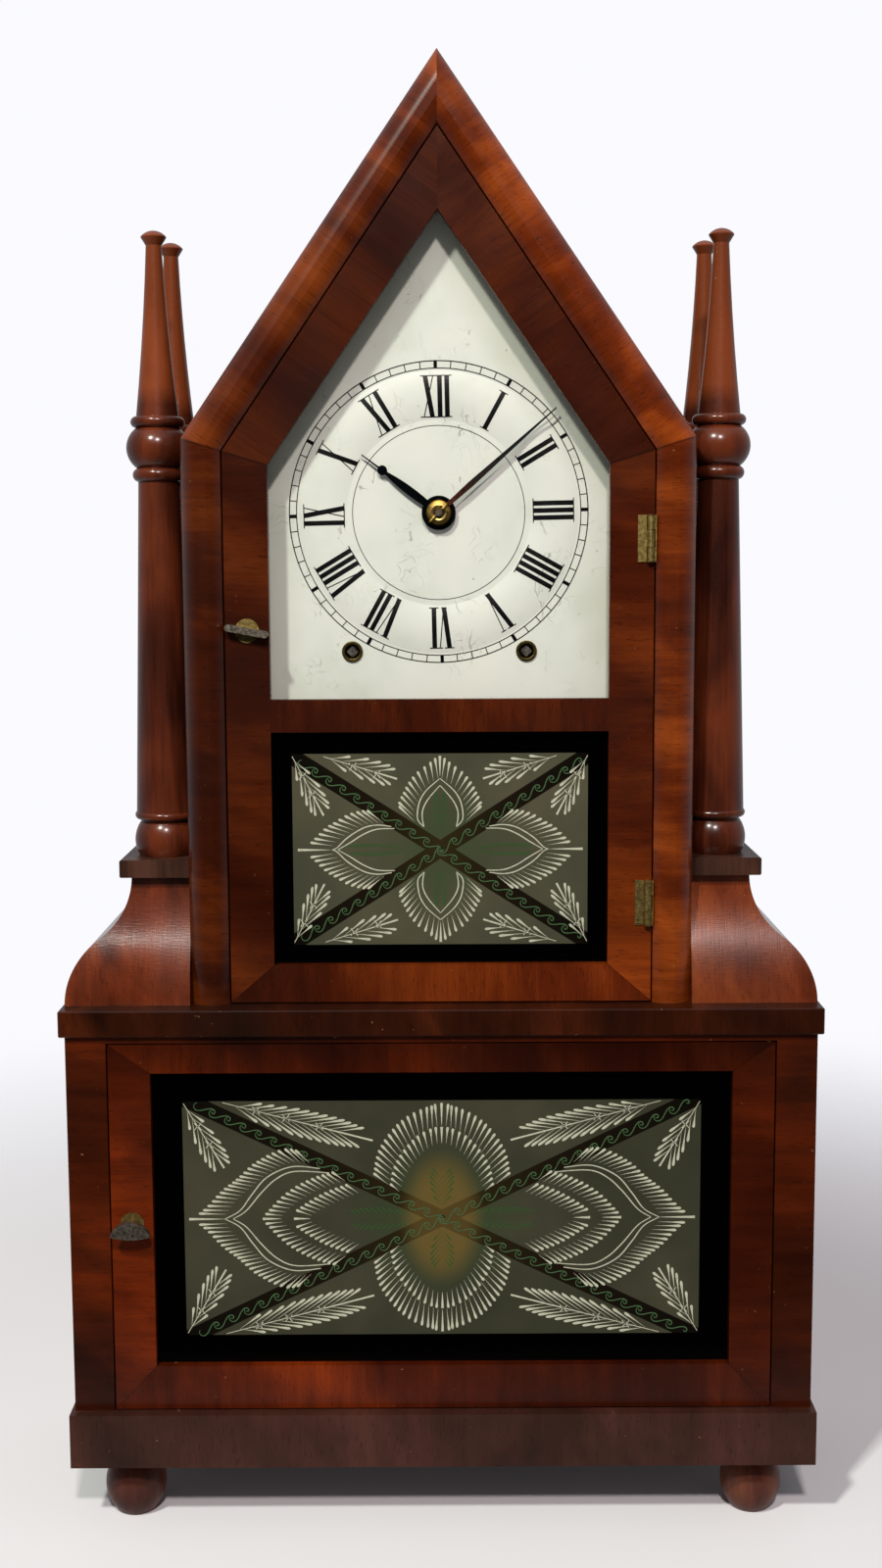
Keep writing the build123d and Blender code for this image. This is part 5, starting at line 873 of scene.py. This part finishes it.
TRACK_MARK_LENGTH = 3.2
ring_source = make_mesh("ring_source", [(0, 0, 0)], [], track_black)
for name, count, width, paint in (("minute_marks", 60, 0.44, track_black),
                                  ("five_minute_marks", 12, 1.6, numeral_black)):
    mesh = run_tree(ring_source, ring_of_marks,
                    {"Radius": TRACK_RADIUS, "Count": count, "Width": width, "Length": TRACK_MARK_LENGTH,
                     "Mark": square_mark, "Paint": paint})
    lay_upright(name, mesh, "case", DIAL_FRONT, HUB_Z, DIAL_TURN)


# The two painted tablets, from rows of (x, z, length, lean) in their upper left quarter

QUARTERS = ((1, 1), (-1, 1), (1, -1), (-1, -1))


def mirrored(path, flip_x, flip_z):
    """A line of (x, z, length, lean) mirrored into another quarter, still growing outward."""
    points = [(x * flip_x, z * flip_z, length, lean * flip_x * flip_z) for x, z, length, lean in path]
    return points if flip_x * flip_z > 0 else points[::-1]


def frond(root, tip, length, lean):
    """Both sides of a leaf spray whose strokes lean toward its tip, shorter at root and tip."""
    rx, rz = root
    dx, dz = tip[0] - rx, tip[1] - rz
    left, right = [], []
    for way, size_share in ((0.12, 0.7), (0.35, 1.0), (0.65, 1.0), (0.9, 0.75)):
        size = length * size_share
        left.append((rx + dx * way, rz + dz * way, size, -lean))
        right.append((rx + dx * way, rz + dz * way, size, lean))
    return [left, right[::-1]]


def paint_feathers(name, paths, spacing, width, paint, body, front_y, centre_z):
    """Rows of brush strokes along lines."""
    data = bpy.data.curves.new(name + "_lines", "CURVE")
    data.dimensions = "3D"
    for path in paths:
        spline = data.splines.new("BEZIER")
        spline.bezier_points.add(len(path) - 1)
        for knot, (x, z, length, lean) in zip(spline.bezier_points, path):
            knot.co = (x, z, 0)
            knot.radius = length
            knot.tilt = math.radians(lean)
            knot.handle_left_type = knot.handle_right_type = "AUTO"
    lines = bpy.data.objects.new(name + "_lines", data)
    bpy.context.collection.objects.link(lines)
    mesh = run_tree(lines, feathering,
                    {"Spacing": spacing, "Width": width, "Mark": brush_stroke, "Paint": paint})
    bpy.data.objects.remove(lines)
    lay_upright(name, mesh, body, front_y, centre_z)


lower_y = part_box("lower_tablet")[0][1] / MM
upper_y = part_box("upper_tablet")[0][1] / MM

lower_rows = [
    [(-98.4, 2.2, 12.5, 33), (-94.5, 7.5, 10.5, 37), (-86.0, 15.5, 9.5, 38), (-76.5, 23.0, 9.5, 40),
     (-67.5, 26.5, 9.5, 48), (-60.0, 26.2, 9.0, 52)],
    [(-72.6, 1.5, 8.0, 38), (-68.9, 5.2, 8.0, 38), (-63.2, 9.6, 8.0, 36), (-56.2, 13.4, 7.8, 36),
     (-44.0, 17.6, 7.5, 36)],
    [(-59.4, 1.5, 7.6, 38), (-54.7, 4.4, 7.8, 38), (-47.7, 8.0, 7.8, 36), (-38.0, 12.0, 7.2, 34)],
    [(-24.4, 15.9, 8.6, -18), (-20.8, 24.8, 11.0, -18), (-15.2, 33.6, 11.6, -22), (-8.1, 40.3, 11.0, -26),
     (-2.0, 43.0, 10.6, -16)],
    [(-19.4, 12.7, 5.5, -18), (-15.9, 20.8, 7.6, -18), (-10.3, 29.0, 8.2, -22), (-5.2, 33.6, 8.0, -22),
     (-2.0, 35.0, 7.8, -16)],
]
upper_rows = [
    [(-48.2, 1.8, 10.5, 36), (-45.2, 4.7, 10.2, 38), (-40.5, 8.0, 10.0, 38), (-35.5, 10.8, 9.4, 42),
     (-30.5, 12.0, 9.2, 48), (-25.5, 12.2, 9.4, 52)],
    [(-11.6, 12.9, 9.8, -50), (-11.8, 16.1, 9.2, -40), (-10.9, 19.9, 8.4, -30), (-8.3, 25.6, 8.2, -24),
     (-5.4, 29.2, 8.2, -22), (-0.8, 32.0, 9.6, -20)],
]
lower_fronds = (frond((-116.9, 54.2), (-103.0, 30.0), 13.5, 67)
                + frond((-100.0, 54.2), (-42.0, 39.4), 17.0, 68))
upper_fronds = (frond((-66.2, 42.6), (-56.0, 23.0), 12.6, 68)
                + frond((-52.3, 42.2), (-27.5, 34.9), 13.4, 68))
lower_leaves = frond((0.0, 3.9), (0.0, 20.0), 8.5, 50) + frond((-9.8, 0.0), (-40.0, 0.0), 8.0, 50)
upper_leaves = frond((0.0, 8.0), (0.0, 24.0), 5.5, 60) + frond((-14.0, 0.0), (-40.0, 0.0), 5.5, 60)

SPRAY_SPACING_RATIO = 1.85
for label, rows, fronds, spacing, width, y, z in (
        ("lower", lower_rows, lower_fronds, 2.25, 1.3, lower_y, LOWER_Z),
        ("upper", upper_rows, upper_fronds, 2.3, 1.25, upper_y, UPPER_Z)):
    for kind, drawn, apart in (("feathers", rows, spacing),
                               ("sprays", fronds, spacing * SPRAY_SPACING_RATIO)):
        paths = [mirrored(path, *flips) for path in drawn for flips in QUARTERS]
        paint_feathers(label + "_tablet_" + kind, paths, apart, width, feather_white, label + "_door", y, z)
for label, leaves, spacing, width, y, z in (
        ("lower", lower_leaves, 2.4, 0.8, lower_y, LOWER_Z),
        ("upper", upper_leaves, 2.0, 0.9, upper_y, UPPER_Z)):
    paths = []
    for path in leaves:
        paths += [path, mirrored(mirrored(path, -1, 1), 1, -1)]
    paint_feathers(label + "_tablet_leaves", paths, spacing, width, leaf_green, label + "_door", y, z)


OGEE_WIDTHS, STEM_WIDTHS, TIE_WIDTHS = (0.35, 0.55, 0.55, 0.4), (0.3, 0.4, 0.9), (0.35, 0.35)
AXIS_WIDTHS, WAVE_WIDTHS = (0.1, 0.7, 1.2), (0.25, 0.45, 0.5, 0.35)
TIE_ACROSS, TIE_UP = 1.6, 1.7
WHITE_LIFT, GREEN_LIFT = 1.5 * HAIR, 0.8 * HAIR
ACROSS, UPRIGHT = Vector((1.0, 0.0)), Vector((0.0, 1.0))
# One wave of the running ornament, in shares of its pitch: down into a trough, over and a curl back
WAVE_SHARES = ((-0.02, 0.13), (-0.12, -0.01), (-0.09, -0.20), (0.10, -0.30), (0.35, -0.22), (0.67, 0.03),
               (0.93, 0.16), (1.13, 0.11), (1.16, -0.04), (1.06, -0.09), (0.98, -0.01))


def paint_lines(label, ogees, stems, ties, axis_strokes, wave_pitch, slope, half_width, y, centre_z):
    """White double ogee lines, spray stems with their ties, and a green running wave on each band."""
    white = Marks(label + "_tablet_lines", feather_white, label + "_door", y)
    green = Marks(label + "_tablet_waves", wave_green, label + "_door", y)

    def in_each_quarter(points, widths):
        """A white brush line through a few points, mirrored into all four quarters."""
        for flip_x, flip_z in QUARTERS:
            white.ribbon([(p.x * flip_x, p.y * flip_z) for p in smooth(points)], widths)

    for points in ogees:
        in_each_quarter(points, OGEE_WIDTHS)
    for axis, root, tip in axis_strokes:
        for way in (1, -1):
            ends = [axis * (share * way) for share in (root, (root + tip) / 2, tip)]
            white.ribbon([tuple(end) for end in ends], AXIS_WIDTHS)
    for root, tip in stems:
        in_each_quarter([root, ((root[0] + tip[0]) / 2, (root[1] + tip[1]) / 2), tip], STEM_WIDTHS)
    for at_x, at_z in ties:
        for k in (-1, 1):
            in_each_quarter([(at_x - TIE_ACROSS, at_z + TIE_UP * k), (at_x, at_z),
                             (at_x + TIE_ACROSS, at_z + TIE_UP * k)], TIE_WIDTHS)
    angle = math.atan(slope)
    count = int(half_width / math.cos(angle) / wave_pitch)
    for turn in (angle, -angle):
        for i in range(-count, count):
            points = []
            for u, v in WAVE_SHARES:
                du, dv = (i + u) * wave_pitch, v * wave_pitch
                points.append((du * math.cos(turn) - dv * math.sin(turn),
                               du * math.sin(turn) + dv * math.cos(turn)))
            green.ribbon(smooth(points, 4), WAVE_WIDTHS)
    white.lay(lambda x, z: WHITE_LIFT, centre_z)
    green.lay(lambda x, z: GREEN_LIFT, centre_z)


paint_lines(
    "lower",
    ogees=[[(-99.0, 0.0), (-92.0, 4.0), (-86.5, 11.5), (-79.5, 19.6), (-68.2, 24.5), (-55.5, 23.6)],
           [(-95.3, 0.0), (-89.3, 3.8), (-82.3, 12.2), (-75.2, 18.9), (-66.7, 22.3), (-51.2, 21.5)]],
    stems=[((-116.9, 54.2), (-98.9, 24.0)), ((-99.2, 54.6), (-31.3, 36.6))],
    ties=[(-110.5, 43.5), (-105.5, 35.0), (-84.0, 50.8), (-70.5, 47.3), (-55.5, 43.3)],
    axis_strokes=((ACROSS, 99.0, 115.3), (ACROSS, 73.2, 81.7), (ACROSS, 60.0, 67.5), (UPRIGHT, 43.4, 54.0),
                  (UPRIGHT, 35.2, 42.8)),
    wave_pitch=7.7, slope=LOWER_SLOPE, half_width=LOWER_X, y=lower_y, centre_z=LOWER_Z)
paint_lines(
    "upper",
    ogees=[[(-49.0, 0.0), (-46.6, 0.9), (-42.4, 5.0), (-37.6, 8.3), (-32.9, 10.5), (-27.7, 11.2),
            (-22.0, 10.5)],
           [(-46.2, 0.0), (-40.5, 3.3), (-34.8, 6.9), (-28.6, 9.3), (-20.6, 9.6)],
           [(0.0, 32.2), (-5.9, 27.1), (-9.0, 22.3), (-10.2, 17.0), (-9.9, 13.2), (-7.3, 10.3)],
           [(0.0, 29.1), (-5.4, 22.8), (-7.8, 18.0), (-8.0, 14.1), (-7.3, 10.5)]],
    stems=[((-66.2, 42.4), (-52.4, 15.6)), ((-52.3, 42.3), (-19.3, 32.1))],
    ties=[(-61.8, 33.4), (-57.5, 25.2), (-39.1, 37.7), (-28.4, 34.1)],
    axis_strokes=((ACROSS, 49.3, 64.2), (UPRIGHT, 33.2, 42.4)),
    wave_pitch=7.4, slope=UPPER_SLOPE, half_width=UPPER_X, y=upper_y, centre_z=UPPER_Z)
for spare in (brush_stroke, square_mark, ring_source):
    bpy.data.objects.remove(spare)


# Plain pale floor that fades out toward the viewer and far away

FLOOR_HALF = 1.6
FADE_FROM, FADE_TO = 0.28, 0.95
NEAR_FADE_FROM, NEAR_FADE_TO = -0.13, -0.24
corners_of_floor = [(x * FLOOR_HALF, y * FLOOR_HALF, 0) for x, y in ((-1, -1), (1, -1), (1, 1), (-1, 1))]
floor_material = bpy.data.materials.new("floor_paper")
floor_material.use_nodes = True
paper = floor_material.node_tree
paper.nodes.clear()
ground = add(paper, "ShaderNodeBsdfDiffuse", {"Color": "#e9e7ea"})
spot = add(paper, "ShaderNodeTexCoord").outputs["Object"]
away = add(paper, "ShaderNodeVectorMath", {0: spot}, operation="LENGTH")
far_edge = add(paper, "ShaderNodeMapRange", {"Value": away, "From Min": FADE_FROM, "From Max": FADE_TO},
               interpolation_type="SMOOTHSTEP")
depth = add(paper, "ShaderNodeSeparateXYZ", {0: spot}).outputs[Y]
near_edge = add(paper, "ShaderNodeMapRange",
                {"Value": depth, "From Min": NEAR_FADE_FROM, "From Max": NEAR_FADE_TO},
                interpolation_type="SMOOTHSTEP")
edge = add(paper, "ShaderNodeMath", {0: far_edge, 1: near_edge}, operation="MAXIMUM")
clear = add(paper, "ShaderNodeBsdfTransparent")
faded = add(paper, "ShaderNodeMixShader", {0: edge, 1: ground, 2: clear})
add(paper, "ShaderNodeOutputMaterial", {"Surface": faded})
make_mesh("floor", corners_of_floor, [[0, 1, 2, 3]], floor_material)


# Soft studio light

LAMP_DISTANCE, LAMP_SIZE = 2.3, 0.15
DIAL_PLACE = Vector((0, 0, HUB_Z * MM))
for name, way, power, tone in (("left_softbox", (-0.52, -1.0, 1.04), 41.5, "#fbfff4"),
                               ("front_softbox", (0.04, -1.0, 0.74), 32.0, "#fff4f2")):
    toward = Vector(way).normalized()
    lamp = bpy.data.lights.new(name, "AREA")
    lamp.shape = "RECTANGLE"
    lamp.size = lamp.size_y = LAMP_SIZE
    lamp.energy = power
    lamp.color = colour(tone)[:3]
    holder = bpy.data.objects.new(name, lamp)
    bpy.context.collection.objects.link(holder)
    holder.location = DIAL_PLACE + toward * LAMP_DISTANCE
    holder.rotation_euler = (-toward).to_track_quat("-Z", "Y").to_euler()


# A white room: white to the camera and through glass, dim on surfaces, and in reflections pale behind
# the clock and overhead but dark where the viewer stands

AMBIENT = 0.26
world = bpy.data.worlds.new("studio")
bpy.context.scene.world = world
world.use_nodes = True
sky = world.node_tree
sky.nodes.clear()
rays = add(sky, "ShaderNodeLightPath")
seen, through = rays.outputs["Is Camera Ray"], rays.outputs["Is Transmission Ray"]
straight = add(sky, "ShaderNodeMath", {0: seen, 1: through}, operation="MAXIMUM")
aim = add(sky, "ShaderNodeSeparateXYZ", {0: add(sky, "ShaderNodeTexCoord").outputs["Generated"]})
behind_clock = add(sky, "ShaderNodeMapRange", {"Value": aim.outputs[Y], "From Min": -0.8, "From Max": 0.3,
                                               "To Min": 0.01, "To Max": 0.5})
overhead = add(sky, "ShaderNodeMapRange", {"Value": aim.outputs[Z], "From Min": 0.5, "From Max": 0.85,
                                           "To Min": 0.0, "To Max": 0.7})
mirrored_room = add(sky, "ShaderNodeMath", {0: behind_clock, 1: overhead}, operation="MAXIMUM")
room_light = add(sky, "ShaderNodeMix", {"Factor_Float": rays.outputs["Is Glossy Ray"], "A_Float": AMBIENT,
                                        "B_Float": mirrored_room}, data_type="FLOAT")
level = add(sky, "ShaderNodeMath", {0: straight, 1: room_light}, operation="MAXIMUM")
room = add(sky, "ShaderNodeBackground", {"Color": "#fafaff", "Strength": level})
add(sky, "ShaderNodeOutputWorld", {"Surface": room})
